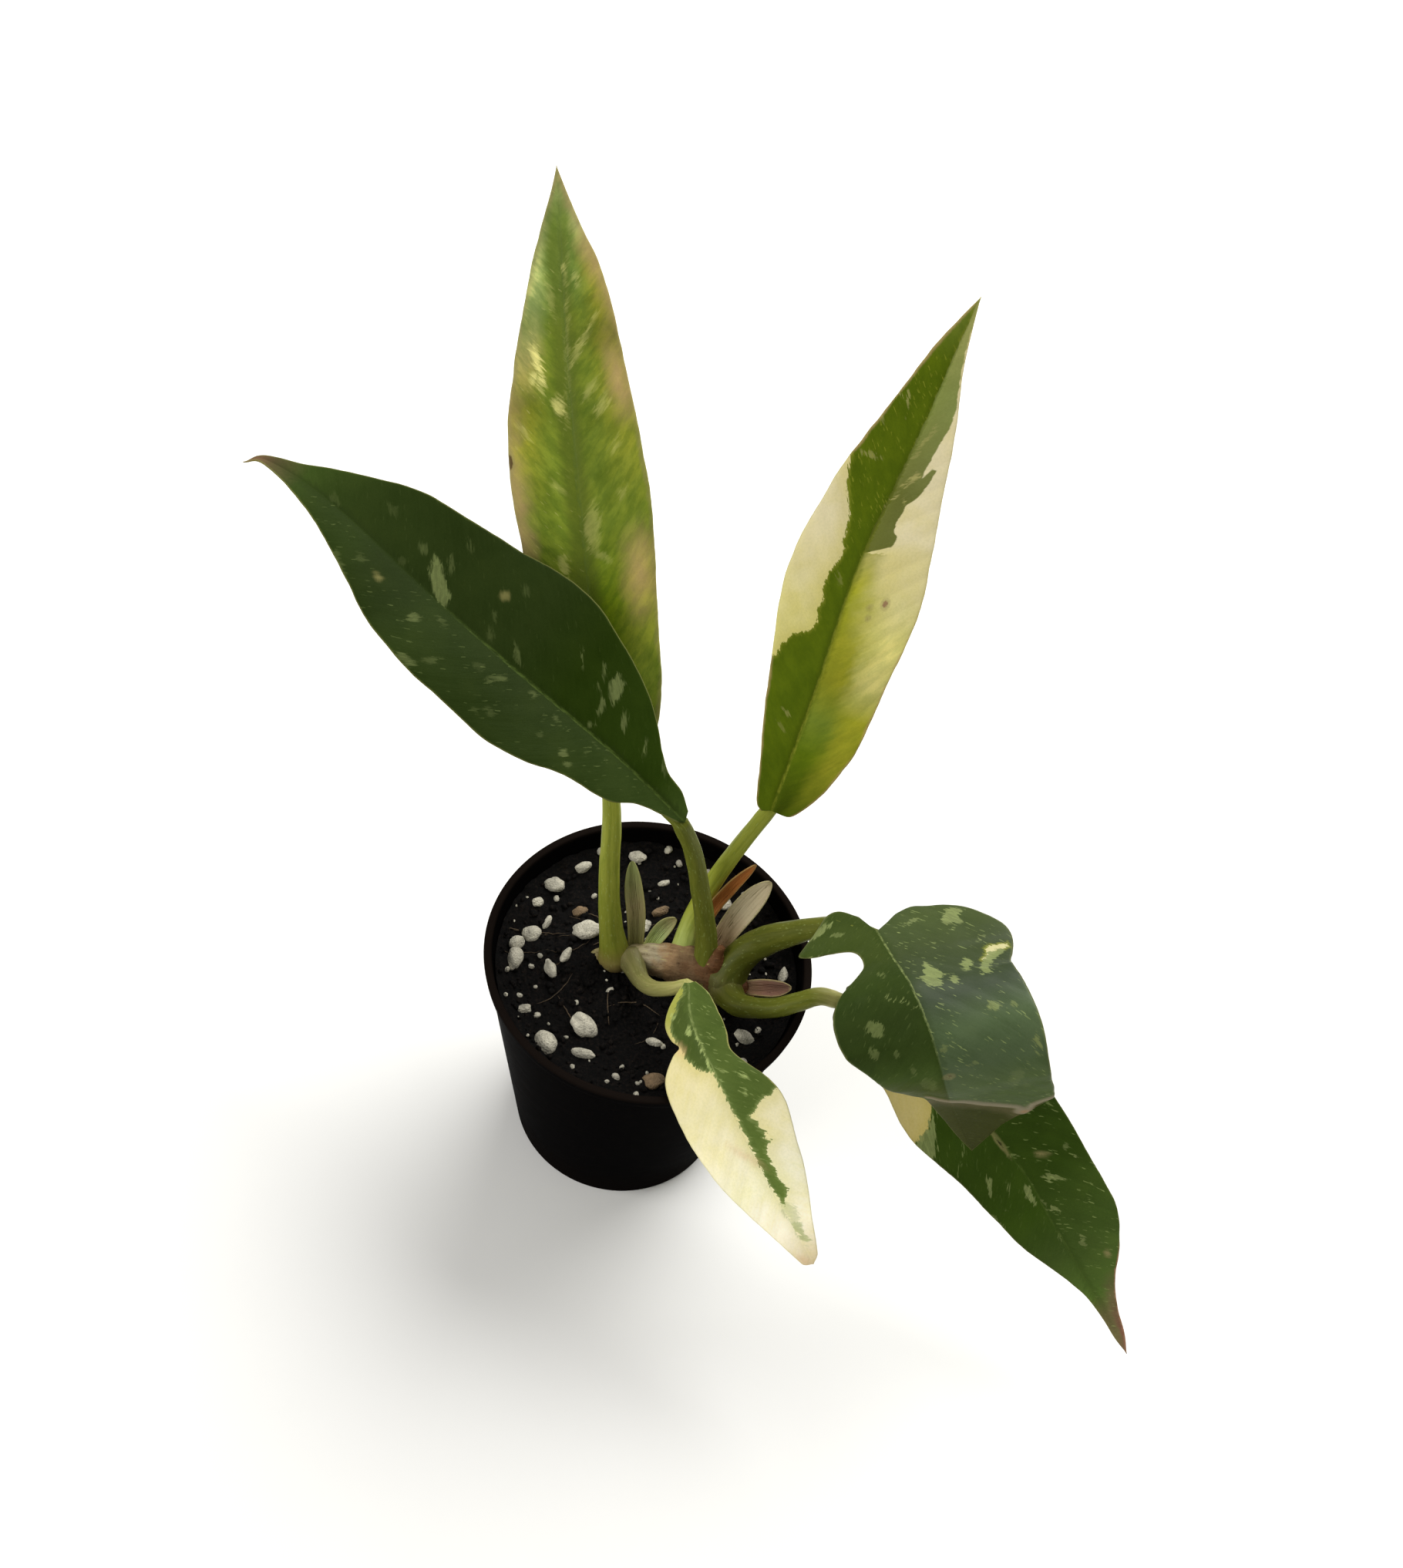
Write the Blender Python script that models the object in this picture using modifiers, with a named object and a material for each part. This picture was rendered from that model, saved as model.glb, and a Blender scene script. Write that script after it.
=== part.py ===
"""Potted ring of fire philodendron: a young plant of six leaves in a small nursery pot.

Frame: metres, +Z up, origin at the centre of the pot's flat underside. -Y is the plant's front.
"""
import math
import random

import bmesh
import bpy
import numpy as np
from mathutils import Vector
from mathutils.bvhtree import BVHTree

# Pot
RIM_DIAMETER = 0.0640
FOOT_DIAMETER = 0.0450
POT_HEIGHT = 0.0600
POT_WALL = 0.0010
POT_FLOOR = 0.0012
LIP_HEIGHT = 0.0026
LIP_PROUD = 0.0006
FOOT_ROUND = 0.0016
POT_SIDES = 48
DRAIN_HOLES = 6
DRAIN_RING = 0.0145
DRAIN_DIAMETER = 0.0052
POT_COLOUR = (0.012, 0.012, 0.013)

# Soil: a shallow dish whose rim stands near the lip, with pale granules lying in it
SOIL_BELOW_RIM = 0.0033
SOIL_DISH = 0.0043
SOIL_DISH_POWER = 6
SOIL_SIDES = 40
SOIL_RINGS = 6
SOIL_BUMP = 0.0003
SOIL_COLOUR = (0.020, 0.014, 0.011)
GRANULE_SEED = 5
GRANULE_COUNT = 14
GRANULE_SIZES = (0.0008, 0.0012)
GRANULE_WIDTH = 0.68
GRANULE_FLATNESS = 0.6
GRANULE_TILT = 0.3

# No small granule lies in this stretch of x and of y, where the crown and the stalks are
CROWN_STRETCH = ((-0.0150, 0.0265), (-0.0085, 0.0105))

# The large granules, each as x, y, half its length and its turn in degrees
LARGE_GRANULES = (
    (-0.0136, 0.0067, 0.0032, 10),
    (-0.0095, -0.0153, 0.0029, -12),
    (-0.0081, -0.0209, 0.0023, 0),
    (-0.0265, -0.0006, 0.0019, 60),
    (-0.0243, 0.0028, 0.0021, 35),
    (-0.0218, 0.0064, 0.0017, 80),
    (-0.0260, -0.0046, 0.0026, 100),
    (-0.0074, 0.0262, 0.0019, 0),
    (-0.0187, -0.0039, 0.0023, -55),
    (-0.0176, 0.0204, 0.0019, 20),
    (-0.0222, 0.0148, 0.0023, 5),
    (-0.0160, 0.0112, 0.0017, 30),
    (-0.0163, -0.0002, 0.0019, 75),
    (-0.0214, -0.0148, 0.0014, 40),
    (-0.0156, -0.0213, 0.0027, -55),
    (0.0049, -0.0149, 0.0018, 0),
    (0.0060, -0.0241, 0.0022, 20),
    (0.0217, -0.0096, 0.0024, -15),
    (0.0220, -0.0160, 0.0016, 30),
    (0.0003, 0.0158, 0.0021, 40),
    (0.0270, 0.0056, 0.0019, 90),
    (0.0248, -0.0030, 0.0014, 0),
    (-0.0022, 0.0112, 0.0015, 70),
    (-0.0005, 0.0220, 0.0014, 15),
    (-0.0245, 0.0098, 0.0014, 50),
    (0.0128, 0.0205, 0.0016, 65),
)

# Gap kept between neighbours, and the distance within which points are one
GAP = 0.0003
WELD = 0.00002

# Leaves: thickness, cells across each half, and the rib that runs under the blade
BLADE = 0.0007
CELLS_ACROSS = 3
RIB_SHARE = 0.86
RIB_IN_BLADE = 0.0002
RIB_TIP_RADIUS = 0.0005
LEAF_ROUGHNESS = 0.4

# Sheaths: thickness and cells along and across
SHEATH = 0.0007
SHEATH_ROWS = 7
SHEATH_CELLS = 4
SHEATH_ROUGHNESS = 0.6

# Stem: a short lying crown with a growing tip and a root that stands in the soil
CROWN = ((-0.0105, 0.0025, 0.0505), (-0.0050, 0.0024, 0.0530), (0.0030, 0.0028, 0.0545),
         (0.0110, 0.0026, 0.0550), (0.0175, 0.0008, 0.0548), (0.0215, -0.0015, 0.0525))
CROWN_RADII = (0.0024, 0.0036, 0.0042, 0.0048, 0.0044, 0.0022)
GROWING_TIP = ((0.0128, 0.0022, 0.0545), (0.0130, 0.0026, 0.0590), (0.0134, 0.0033, 0.0625))
GROWING_TIP_RADII = (0.0038, 0.0027, 0.0010)
ROOT = ((0.0060, 0.0026, 0.0540), (0.0050, 0.0015, 0.0420), (0.0030, 0.0000, 0.0280))
ROOT_RADII = (0.0036, 0.0026, 0.0012)
STEM_COLOUR = (0.36, 0.24, 0.18)

# Each leaf: its stalk from the crown up to the blade, its midrib from there to the tip, the way
# across the blade at both ends, how far each half folds up (degrees, + side then - side), how the
# edges wave, and its outline. A row of the outline is a line across the blade: its place along
# the midrib, then where it meets the + edge and the - edge as (along, across).
LEAVES = (
    dict(
        name="leaf_mottled", colour=(0.20, 0.26, 0.03), rows=24,
        stalk=((-0.0068, 0.0022, 0.0535), (-0.0092, 0.0048, 0.0620), (-0.0112, 0.0085, 0.0720),
               (-0.0128, 0.0128, 0.0835)),
        stalk_radii=(0.0026, 0.0021, 0.0019), rib_radius=0.0013,
        midrib=((-0.0155, 0.0190, 0.0930), (-0.0250, 0.0370, 0.1140), (-0.0340, 0.0540, 0.1350),
                (-0.0420, 0.0740, 0.1510), (-0.0490, 0.0940, 0.1660)),
        across=((0.95, 0.30, 0.10), (0.97, 0.18, 0.14)),
        fold=(8.0, 8.0), wave=0.0006, waves=2.6, phases=(0.3, 2.2),
        outline=((0.0, -0.0012, 0.0034, -0.0010, -0.0030),
                 (0.0015, 0.0010, 0.0076, 0.0012, -0.0066),
                 (0.0060, 0.0058, 0.0098, 0.0064, -0.0090),
                 (0.0140, 0.0134, 0.0114, 0.0140, -0.0103),
                 (0.0260, 0.0260, 0.0122, 0.0260, -0.0109),
                 (0.0390, 0.0390, 0.0129, 0.0400, -0.0113),
                 (0.0500, 0.0500, 0.0132, 0.0510, -0.0120),
                 (0.0620, 0.0620, 0.0121, 0.0625, -0.0117),
                 (0.0740, 0.0740, 0.0106, 0.0730, -0.0098),
                 (0.0850, 0.0850, 0.0089, 0.0840, -0.0073),
                 (0.0925, 0.0925, 0.0069, 0.0920, -0.0054),
                 (0.0995, 0.0995, 0.0040, 0.0990, -0.0034),
                 (0.1060, 0.1060, 0.0016, 0.1060, -0.0012),
                 (0.1106, 0.1106, 0.0, 0.1106, 0.0))),
    dict(
        name="leaf_dark_left", colour=(0.02, 0.06, 0.012), rows=28,
        stalk=((0.0116, 0.0016, 0.0545), (0.0100, 0.0056, 0.0630), (0.0066, 0.0086, 0.0740),
               (0.0035, 0.0094, 0.0845)),
        stalk_radii=(0.0024, 0.0020, 0.0018), rib_radius=0.0014,
        midrib=((0.0010, 0.0080, 0.0940), (-0.0145, 0.0125, 0.1035), (-0.0340, 0.0175, 0.1135),
                (-0.0520, 0.0245, 0.1205), (-0.0740, 0.0370, 0.1250), (-0.0880, 0.0430, 0.1260),
                (-0.0930, 0.0430, 0.1245)),
        across=((0.40, 0.80, 0.35), (0.40, 0.80, 0.35)),
        fold=(5.0, 30.0), wave=0.0008, waves=3.0, phases=(1.0, 2.9),
        outline=((0.0, 0.0010, 0.0020, 0.0012, -0.0012),
                 (0.0040, 0.0045, 0.0038, 0.0055, -0.0030),
                 (0.0090, 0.0084, 0.0044, 0.0100, -0.0052),
                 (0.0125, 0.0120, 0.0064, 0.0138, -0.0082),
                 (0.0160, 0.0156, 0.0092, 0.0180, -0.0095),
                 (0.0205, 0.0200, 0.0124, 0.0220, -0.0100),
                 (0.0250, 0.0247, 0.0148, 0.0265, -0.0113),
                 (0.0310, 0.0308, 0.0170, 0.0315, -0.0134),
                 (0.0390, 0.0390, 0.0190, 0.0385, -0.0148),
                 (0.0480, 0.0480, 0.0190, 0.0470, -0.0144),
                 (0.0580, 0.0580, 0.0170, 0.0570, -0.0142),
                 (0.0680, 0.0690, 0.0147, 0.0660, -0.0126),
                 (0.0775, 0.0780, 0.0125, 0.0760, -0.0090),
                 (0.0870, 0.0870, 0.0080, 0.0860, -0.0059),
                 (0.0960, 0.0960, 0.0033, 0.0955, -0.0032),
                 (0.1020, 0.1020, 0.0015, 0.1020, -0.0015),
                 (0.1082, 0.1082, 0.0, 0.1082, 0.0))),
    dict(
        name="leaf_cream_right", colour=(0.62, 0.55, 0.26), rows=24,
        stalk=((0.0060, 0.0044, 0.0546), (0.0066, 0.0102, 0.0600), (0.0086, 0.0138, 0.0674),
               (0.0118, 0.0160, 0.0780)),
        stalk_radii=(0.0021, 0.0019, 0.0017), rib_radius=0.0013,
        midrib=((0.0165, 0.0185, 0.0900), (0.0190, 0.0300, 0.1120), (0.0210, 0.0410, 0.1360),
                (0.0255, 0.0520, 0.1580), (0.0295, 0.0630, 0.1810)),
        across=((0.97, 0.10, 0.0), (0.97, 0.10, 0.0)),
        fold=(10.0, 10.0), wave=0.0006, waves=2.4, phases=(0.0, 1.7),
        outline=((0.0, -0.0001, 0.0014, -0.0005, -0.0020),
                 (0.0006, 0.0002, 0.0042, 0.0011, -0.0034),
                 (0.0060, 0.0056, 0.0076, 0.0065, -0.0049),
                 (0.0120, 0.0120, 0.0098, 0.0130, -0.0065),
                 (0.0185, 0.0180, 0.0112, 0.0190, -0.0079),
                 (0.0290, 0.0290, 0.0121, 0.0290, -0.0098),
                 (0.0420, 0.0420, 0.0132, 0.0420, -0.0118),
                 (0.0500, 0.0500, 0.0129, 0.0500, -0.0122),
                 (0.0590, 0.0580, 0.0113, 0.0600, -0.0112),
                 (0.0695, 0.0690, 0.0083, 0.0700, -0.0099),
                 (0.0805, 0.0800, 0.0054, 0.0810, -0.0071),
                 (0.0905, 0.0900, 0.0023, 0.0910, -0.0045),
                 (0.0972, 0.0970, 0.0009, 0.0975, -0.0021),
                 (0.1023, 0.1023, 0.0, 0.1023, 0.0))),
    dict(
        name="leaf_cream_front", colour=(0.70, 0.66, 0.36), rows=26,
        stalk=((-0.0032, 0.0012, 0.0545), (-0.0006, -0.0044, 0.0572), (0.0022, -0.0074, 0.0600),
               (0.0055, -0.0089, 0.0638)),
        stalk_radii=(0.0021, 0.0017, 0.0015), rib_radius=0.0011,
        midrib=((0.0085, -0.0095, 0.0680), (0.0110, -0.0165, 0.0655), (0.0200, -0.0285, 0.0625),
                (0.0300, -0.0395, 0.0570), (0.0425, -0.0505, 0.0485)),
        across=((-0.77, -0.50, -0.20), (-0.77, -0.50, -0.30)),
        fold=(5.0, 5.0), wave=0.0003, waves=2.0, phases=(0.0, 1.5),
        outline=((0.0, -0.0002, 0.0010, -0.0002, -0.0014),
                 (0.0030, 0.0030, 0.0029, 0.0027, -0.0043),
                 (0.0072, 0.0067, 0.0051, 0.0080, -0.0055),
                 (0.0100, 0.0096, 0.0050, 0.0118, -0.0055),
                 (0.0124, 0.0113, 0.0041, 0.0146, -0.0047),
                 (0.0142, 0.0125, 0.0061, 0.0167, -0.0051),
                 (0.0176, 0.0160, 0.0091, 0.0200, -0.0068),
                 (0.0220, 0.0205, 0.0100, 0.0245, -0.0091),
                 (0.0285, 0.0285, 0.0098, 0.0290, -0.0097),
                 (0.0360, 0.0360, 0.0085, 0.0355, -0.0085),
                 (0.0435, 0.0440, 0.0061, 0.0430, -0.0068),
                 (0.0505, 0.0510, 0.0038, 0.0500, -0.0040),
                 (0.0556, 0.0560, 0.0021, 0.0556, -0.0019),
                 (0.0578, 0.0578, 0.0, 0.0578, 0.0))),
    dict(
        name="leaf_domed", colour=(0.035, 0.085, 0.018), rows=34,
        stalk=((0.0158, 0.0015, 0.0555), (0.0178, 0.0045, 0.0600), (0.0210, 0.0058, 0.0645),
               (0.0260, 0.0052, 0.0710), (0.0330, 0.0036, 0.0785)),
        stalk_radii=(0.0032, 0.0030, 0.0021), rib_radius=0.0016,
        midrib=((0.0405, 0.0000, 0.0850), (0.0433, -0.0065, 0.0880), (0.0470, -0.0150, 0.0922),
                (0.0512, -0.0225, 0.0915), (0.0545, -0.0265, 0.0875), (0.0573, -0.0276, 0.0815),
                (0.0610, -0.0255, 0.0715), (0.0682, -0.0243, 0.0563)),
        across=((-0.93, -0.25, -0.20), (-0.97, -0.18, -0.14)),
        fold=(-10.0, -5.0), wave=0.0003, waves=2.2, phases=(0.6, 2.0),
        outline=((0.0, -0.0062, 0.0016, -0.0046, -0.0054),
                 (0.0, -0.0094, 0.0044, -0.0059, -0.0092),
                 (0.0, -0.0093, 0.0070, -0.0050, -0.0123),
                 (0.0, -0.0070, 0.0094, -0.0042, -0.0156),
                 (0.0, -0.0044, 0.0122, -0.0023, -0.0185),
                 (0.0, -0.0006, 0.0154, 0.0010, -0.0209),
                 (0.0, 0.0009, 0.0130, 0.0042, -0.0228),
                 (0.0, 0.0012, 0.0105, 0.0070, -0.0235),
                 (0.0004, 0.0018, 0.0082, 0.0100, -0.0230),
                 (0.0016, 0.0030, 0.0061, 0.0133, -0.0214),
                 (0.0040, 0.0053, 0.0053, 0.0165, -0.0198),
                 (0.0072, 0.0080, 0.0056, 0.0195, -0.0193),
                 (0.0106, 0.0104, 0.0078, 0.0222, -0.0193),
                 (0.0145, 0.0143, 0.0122, 0.0250, -0.0194),
                 (0.0190, 0.0187, 0.0153, 0.0285, -0.0193),
                 (0.0240, 0.0238, 0.0160, 0.0318, -0.0193),
                 (0.0290, 0.0290, 0.0148, 0.0352, -0.0190),
                 (0.0340, 0.0340, 0.0122, 0.0392, -0.0187),
                 (0.0390, 0.0390, 0.0106, 0.0440, -0.0186),
                 (0.0430, 0.0430, 0.0080, 0.0490, -0.0186),
                 (0.0462, 0.0452, 0.0049, 0.0540, -0.0176),
                 (0.0505, 0.0500, 0.0038, 0.0572, -0.0128),
                 (0.0562, 0.0560, 0.0026, 0.0600, -0.0080),
                 (0.0622, 0.0620, 0.0014, 0.0640, -0.0038),
                 (0.0678, 0.0678, 0.0, 0.0678, 0.0))),
    dict(
        name="leaf_drooping", colour=(0.03, 0.08, 0.016), rows=26,
        stalk=((0.0165, -0.0010, 0.0550), (0.0195, -0.0048, 0.0570), (0.0255, -0.0061, 0.0605),
               (0.0300, -0.0052, 0.0633), (0.0340, -0.0037, 0.0648)),
        stalk_radii=(0.0026, 0.0020, 0.0019), rib_radius=0.0014,
        midrib=((0.0385, -0.0030, 0.0640), (0.0560, -0.0100, 0.0580), (0.0760, -0.0180, 0.0495),
                (0.0920, -0.0280, 0.0365), (0.1110, -0.0410, 0.0200)),
        across=((-0.50, -0.75, -0.30), (-0.54, -0.65, -0.50)),
        fold=(5.0, 5.0), wave=0.0007, waves=2.6, phases=(0.8, 2.4),
        outline=((0.0, -0.0004, 0.0016, -0.0010, -0.0026),
                 (0.0010, 0.0012, 0.0044, 0.0003, -0.0062),
                 (0.0065, 0.0062, 0.0064, 0.0054, -0.0100),
                 (0.0125, 0.0120, 0.0068, 0.0120, -0.0123),
                 (0.0188, 0.0180, 0.0082, 0.0198, -0.0136),
                 (0.0250, 0.0240, 0.0109, 0.0275, -0.0142),
                 (0.0315, 0.0305, 0.0121, 0.0345, -0.0143),
                 (0.0415, 0.0410, 0.0115, 0.0430, -0.0139),
                 (0.0510, 0.0510, 0.0105, 0.0520, -0.0130),
                 (0.0610, 0.0610, 0.0082, 0.0610, -0.0130),
                 (0.0670, 0.0670, 0.0060, 0.0670, -0.0123),
                 (0.0730, 0.0730, 0.0036, 0.0730, -0.0096),
                 (0.0790, 0.0790, 0.0016, 0.0790, -0.0054),
                 (0.0848, 0.0850, 0.0008, 0.0846, -0.0030),
                 (0.0900, 0.0900, 0.0006, 0.0900, -0.0017),
                 (0.0942, 0.0942, 0.0, 0.0942, 0.0))),
)

# Sheaths: the old bud scales round the crown. Each has a spine from foot to tip, its widest half
# width, how deep its gutter is, and the way its hollow faces.
SHEATHS = (
    dict(name="sheath_pale_upright", colour=(0.45, 0.46, 0.16), half=0.0017, depth=0.0010,
         facing=(0.2, -0.7, 0.6),
         spine=((-0.0028, 0.0028, 0.0540), (-0.0042, 0.0062, 0.0620), (-0.0060, 0.0090, 0.0680),
                (-0.0074, 0.0108, 0.0745))),
    dict(name="sheath_pale_leaning", colour=(0.42, 0.44, 0.20), half=0.0019, depth=0.0008,
         facing=(0.1, -0.6, 0.8),
         spine=((-0.0008, 0.0030, 0.0556), (0.0003, 0.0056, 0.0574), (0.0018, 0.0078, 0.0592),
                (0.0036, 0.0094, 0.0605))),
    dict(name="sheath_dried", colour=(0.28, 0.11, 0.03), half=0.0012, depth=0.0007,
         facing=(0.4, -0.8, 0.5),
         spine=((0.0092, 0.0066, 0.0568), (0.0098, 0.0101, 0.0630), (0.0127, 0.0127, 0.0702),
                (0.0164, 0.0145, 0.0775))),
    dict(name="sheath_pink_upright", colour=(0.50, 0.36, 0.27), half=0.0028, depth=0.0010,
         facing=(-0.2, -0.8, 0.5),
         spine=((0.0125, 0.0062, 0.0560), (0.0142, 0.0091, 0.0612), (0.0171, 0.0119, 0.0680),
                (0.0200, 0.0134, 0.0745))),
    dict(name="sheath_pink_lying", colour=(0.42, 0.20, 0.15), half=0.0020, depth=0.0008,
         facing=(0.0, -0.3, 0.9),
         spine=((0.0190, 0.0000, 0.0556), (0.0225, -0.0004, 0.0578), (0.0258, -0.0004, 0.0588),
                (0.0288, 0.0000, 0.0598))),
)


def clear_scene():
    for old in list(bpy.data.objects):
        bpy.data.objects.remove(old)


def collection(name):
    made = bpy.data.collections.new(name)
    bpy.context.scene.collection.children.link(made)
    return made


def finish(name, colour, roughness):
    """A Principled material of one plain colour."""
    material = bpy.data.materials.new(name)
    material.use_nodes = True
    shader = material.node_tree.nodes["Principled BSDF"]
    shader.inputs["Base Color"].default_value = (*colour, 1.0)
    shader.inputs["Roughness"].default_value = roughness
    shader.inputs["Metallic"].default_value = 0.0
    return material


def add_object(name, mesh, home, material=None):
    made = bpy.data.objects.new(name, mesh)
    home.objects.link(made)
    if material:
        mesh.materials.clear()
        mesh.materials.append(material)
    return made


def applied(item):
    """Turns an object's modifiers into its mesh."""
    bpy.context.view_layer.update()
    graph = bpy.context.evaluated_depsgraph_get()
    mesh = bpy.data.meshes.new_from_object(item.evaluated_get(graph))
    item.modifiers.clear()
    item.data = mesh
    return item


def boolean(item, operation, tool, solver="EXACT"):
    """Cuts or joins item with an object or a collection, and applies it."""
    step = item.modifiers.new(operation.lower(), "BOOLEAN")
    step.operation = operation
    step.solver = solver
    if isinstance(tool, bpy.types.Collection):
        step.operand_type = "COLLECTION"
        step.collection = tool
    else:
        step.object = tool
    return applied(item)


def remove(*items):
    for item in items:
        bpy.data.objects.remove(item)


def as_cutter(item):
    item.hide_render = True
    item.display_type = "WIRE"
    return item


def smooth_rows(rows, count):
    """Even steps along a Catmull-Rom curve through the rows, spaced by their mean length."""
    rows = np.array(rows, float)
    rows = np.vstack([2 * rows[0] - rows[1], rows, 2 * rows[-1] - rows[-2]])
    t = np.linspace(0.0, 1.0, 24, endpoint=False)[:, None]
    pieces = []
    for a, b, c, d in zip(rows, rows[1:], rows[2:], rows[3:]):
        pieces.append(0.5 * (2 * b + (c - a) * t + (2 * a - 5 * b + 4 * c - d) * t ** 2
                             + (3 * b - a - 3 * c + d) * t ** 3))
    dense = np.vstack(pieces + [rows[-2][None]])
    length = np.append(0.0, np.cumsum(np.linalg.norm(np.diff(dense, axis=0), axis=1)))
    steps = np.linspace(0.0, length[-1], count)
    return np.stack([np.interp(steps, length, column) for column in dense.T], axis=1)


def unit(rows):
    return rows / np.linalg.norm(rows, axis=-1, keepdims=True)


class LeafForm:
    """Carries a flat leaf outline onto its midrib.

    A point lies s along the midrib M and t across it. With T along the midrib, S across it and
    N = S x T, it goes to M(s) + S t cos(a) + N (|t| sin(a) + wave), where the fold angle a eases
    to half at the edge, and the wave grows with the square of |t|.
    """

    SAMPLES = 240

    def __init__(self, leaf):
        self.leaf = leaf
        self.rib = smooth_rows(leaf["midrib"], self.SAMPLES)
        self.length = np.linalg.norm(np.diff(self.rib, axis=0), axis=1).sum()
        self.stations = np.linspace(0.0, self.length, self.SAMPLES)
        self.along = unit(np.gradient(self.rib, self.stations, axis=0))
        ease = np.linspace(0.0, 1.0, self.SAMPLES)[:, None]
        across = np.array(leaf["across"][0]) * (1 - ease) + np.array(leaf["across"][1]) * ease
        across -= (across * self.along).sum(1, keepdims=True) * self.along
        self.across = unit(across)
        self.up = np.cross(self.across, self.along)
        self.half = max(max(row[2], -row[4]) for row in leaf["outline"])

    def read(self, table, s):
        return np.stack([np.interp(s, self.stations, column) for column in table.T], axis=-1)

    def place(self, s, t):
        leaf = self.leaf
        inside = np.clip(s, 0.0, self.length)
        along = self.read(self.along, inside)
        middle = self.read(self.rib, inside) + along * (s - inside)[..., None]
        plus = t > 0
        reach = np.clip(np.abs(t) / self.half, 0.0, 1.0)
        angle = np.radians(np.where(plus, *leaf["fold"])) * (1 - 0.5 * reach)
        phase = 2 * math.pi * leaf["waves"] * s / self.length + np.where(plus, *leaf["phases"])
        rise = np.abs(t) * np.sin(angle) + leaf["wave"] * reach ** 2 * np.sin(phase)
        sideways = self.read(self.across, inside) * (t * np.cos(angle))[..., None]
        return middle + sideways + self.read(self.up, inside) * rise[..., None]

    def flat(self, u, v):
        """Flat place of a grid point: u runs base to tip, v from the - edge to the + edge."""
        rows = smooth_rows(self.leaf["outline"], self.SAMPLES)
        rows *= self.length / rows[-1, 0]
        station, plus_s, plus_t, minus_s, minus_t = (
            np.interp(u, np.linspace(0.0, 1.0, self.SAMPLES), column) for column in rows.T)
        station = np.clip(station, 0.0, self.length)
        edge_s = np.where(v > 0, plus_s, minus_s)
        edge_t = np.where(v > 0, plus_t, minus_t)
        return station + (edge_s - station) * np.abs(v), edge_t * np.abs(v)


def blade(form, home):
    """The leaf blade: a grid laid into the outline, bent and given its thickness."""
    leaf = form.leaf
    grid = bmesh.new()
    bmesh.ops.create_grid(grid, x_segments=leaf["rows"], y_segments=2 * CELLS_ACROSS, size=1.0)
    u = np.array([(vert.co.x + 1) / 2 for vert in grid.verts])
    v = np.array([round(vert.co.y, 6) for vert in grid.verts])
    for vert, place in zip(grid.verts, form.place(*form.flat(u, v))):
        vert.co = place
    bmesh.ops.remove_doubles(grid, verts=grid.verts, dist=WELD)
    bmesh.ops.triangulate(grid, faces=grid.faces, quad_method="SHORT_EDGE")
    mesh = bpy.data.meshes.new(leaf["name"])
    grid.to_mesh(mesh)
    grid.free()
    made = add_object(leaf["name"], mesh, home, finish(leaf["name"], leaf["colour"], LEAF_ROUGHNESS))
    thick = made.modifiers.new("thickness", "SOLIDIFY")
    thick.thickness = BLADE
    thick.offset = 0.0
    return applied(made)


def tube(name, points, radii, home, sides=8):
    """A round tapered tube with closed ends, as a mesh."""
    curve = bpy.data.curves.new(name, "CURVE")
    curve.dimensions = "3D"
    curve.bevel_depth = 1.0
    curve.bevel_resolution = sides // 4
    curve.use_fill_caps = True
    spline = curve.splines.new("POLY")
    spline.points.add(len(points) - 1)
    for knot, place, radius in zip(spline.points, points, radii):
        knot.co = (*place, 1.0)
        knot.radius = radius
    guide = bpy.data.objects.new(name + "_guide", curve)
    home.objects.link(guide)
    bpy.context.view_layer.update()
    graph = bpy.context.evaluated_depsgraph_get()
    mesh = bpy.data.meshes.new_from_object(guide.evaluated_get(graph))
    mesh.transform(guide.matrix_world)
    welded = bmesh.new()
    welded.from_mesh(mesh)
    bmesh.ops.remove_doubles(welded, verts=welded.verts, dist=WELD)
    welded.to_mesh(mesh)
    welded.free()
    bpy.data.objects.remove(guide)
    return add_object(name, mesh, home)


def eased_radii(radii, count):
    return np.interp(np.linspace(0, 1, count), np.linspace(0, 1, len(radii)), radii)


def stalk_route(form, count_stalk=9, count_rib=9):
    """Places and radii of the stalk and of the rib under the blade that it runs on into.

    The rib's centre lies below the blade by nearly its radius, so its top is in the blade.
    """
    leaf = form.leaf
    s = np.linspace(0.0, RIB_SHARE * form.length, count_rib + 1)
    rib_radii = np.linspace(leaf["rib_radius"], RIB_TIP_RADIUS, count_rib + 1)
    sunk = (rib_radii - RIB_IN_BLADE)[:, None]
    under = form.read(form.rib, s) - form.read(form.up, s) * sunk
    stalk = smooth_rows(np.vstack([leaf["stalk"], under[:1]]), count_stalk)
    stalk_radii = eased_radii((*leaf["stalk_radii"], leaf["rib_radius"] + RIB_IN_BLADE), count_stalk)
    return np.vstack([stalk, under[1:]]), np.append(stalk_radii, rib_radii[1:])


def leaf_node(leaf, home, crown_cutter):
    form = LeafForm(leaf)
    made = blade(form, home)
    stalk = tube(leaf["name"] + "_stalk", *stalk_route(form), home)
    boolean(made, "UNION", stalk)
    boolean(made, "DIFFERENCE", crown_cutter)
    remove(stalk)
    made.data.shade_smooth()
    made.data.set_sharp_from_angle(angle=math.radians(50))
    return made


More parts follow.
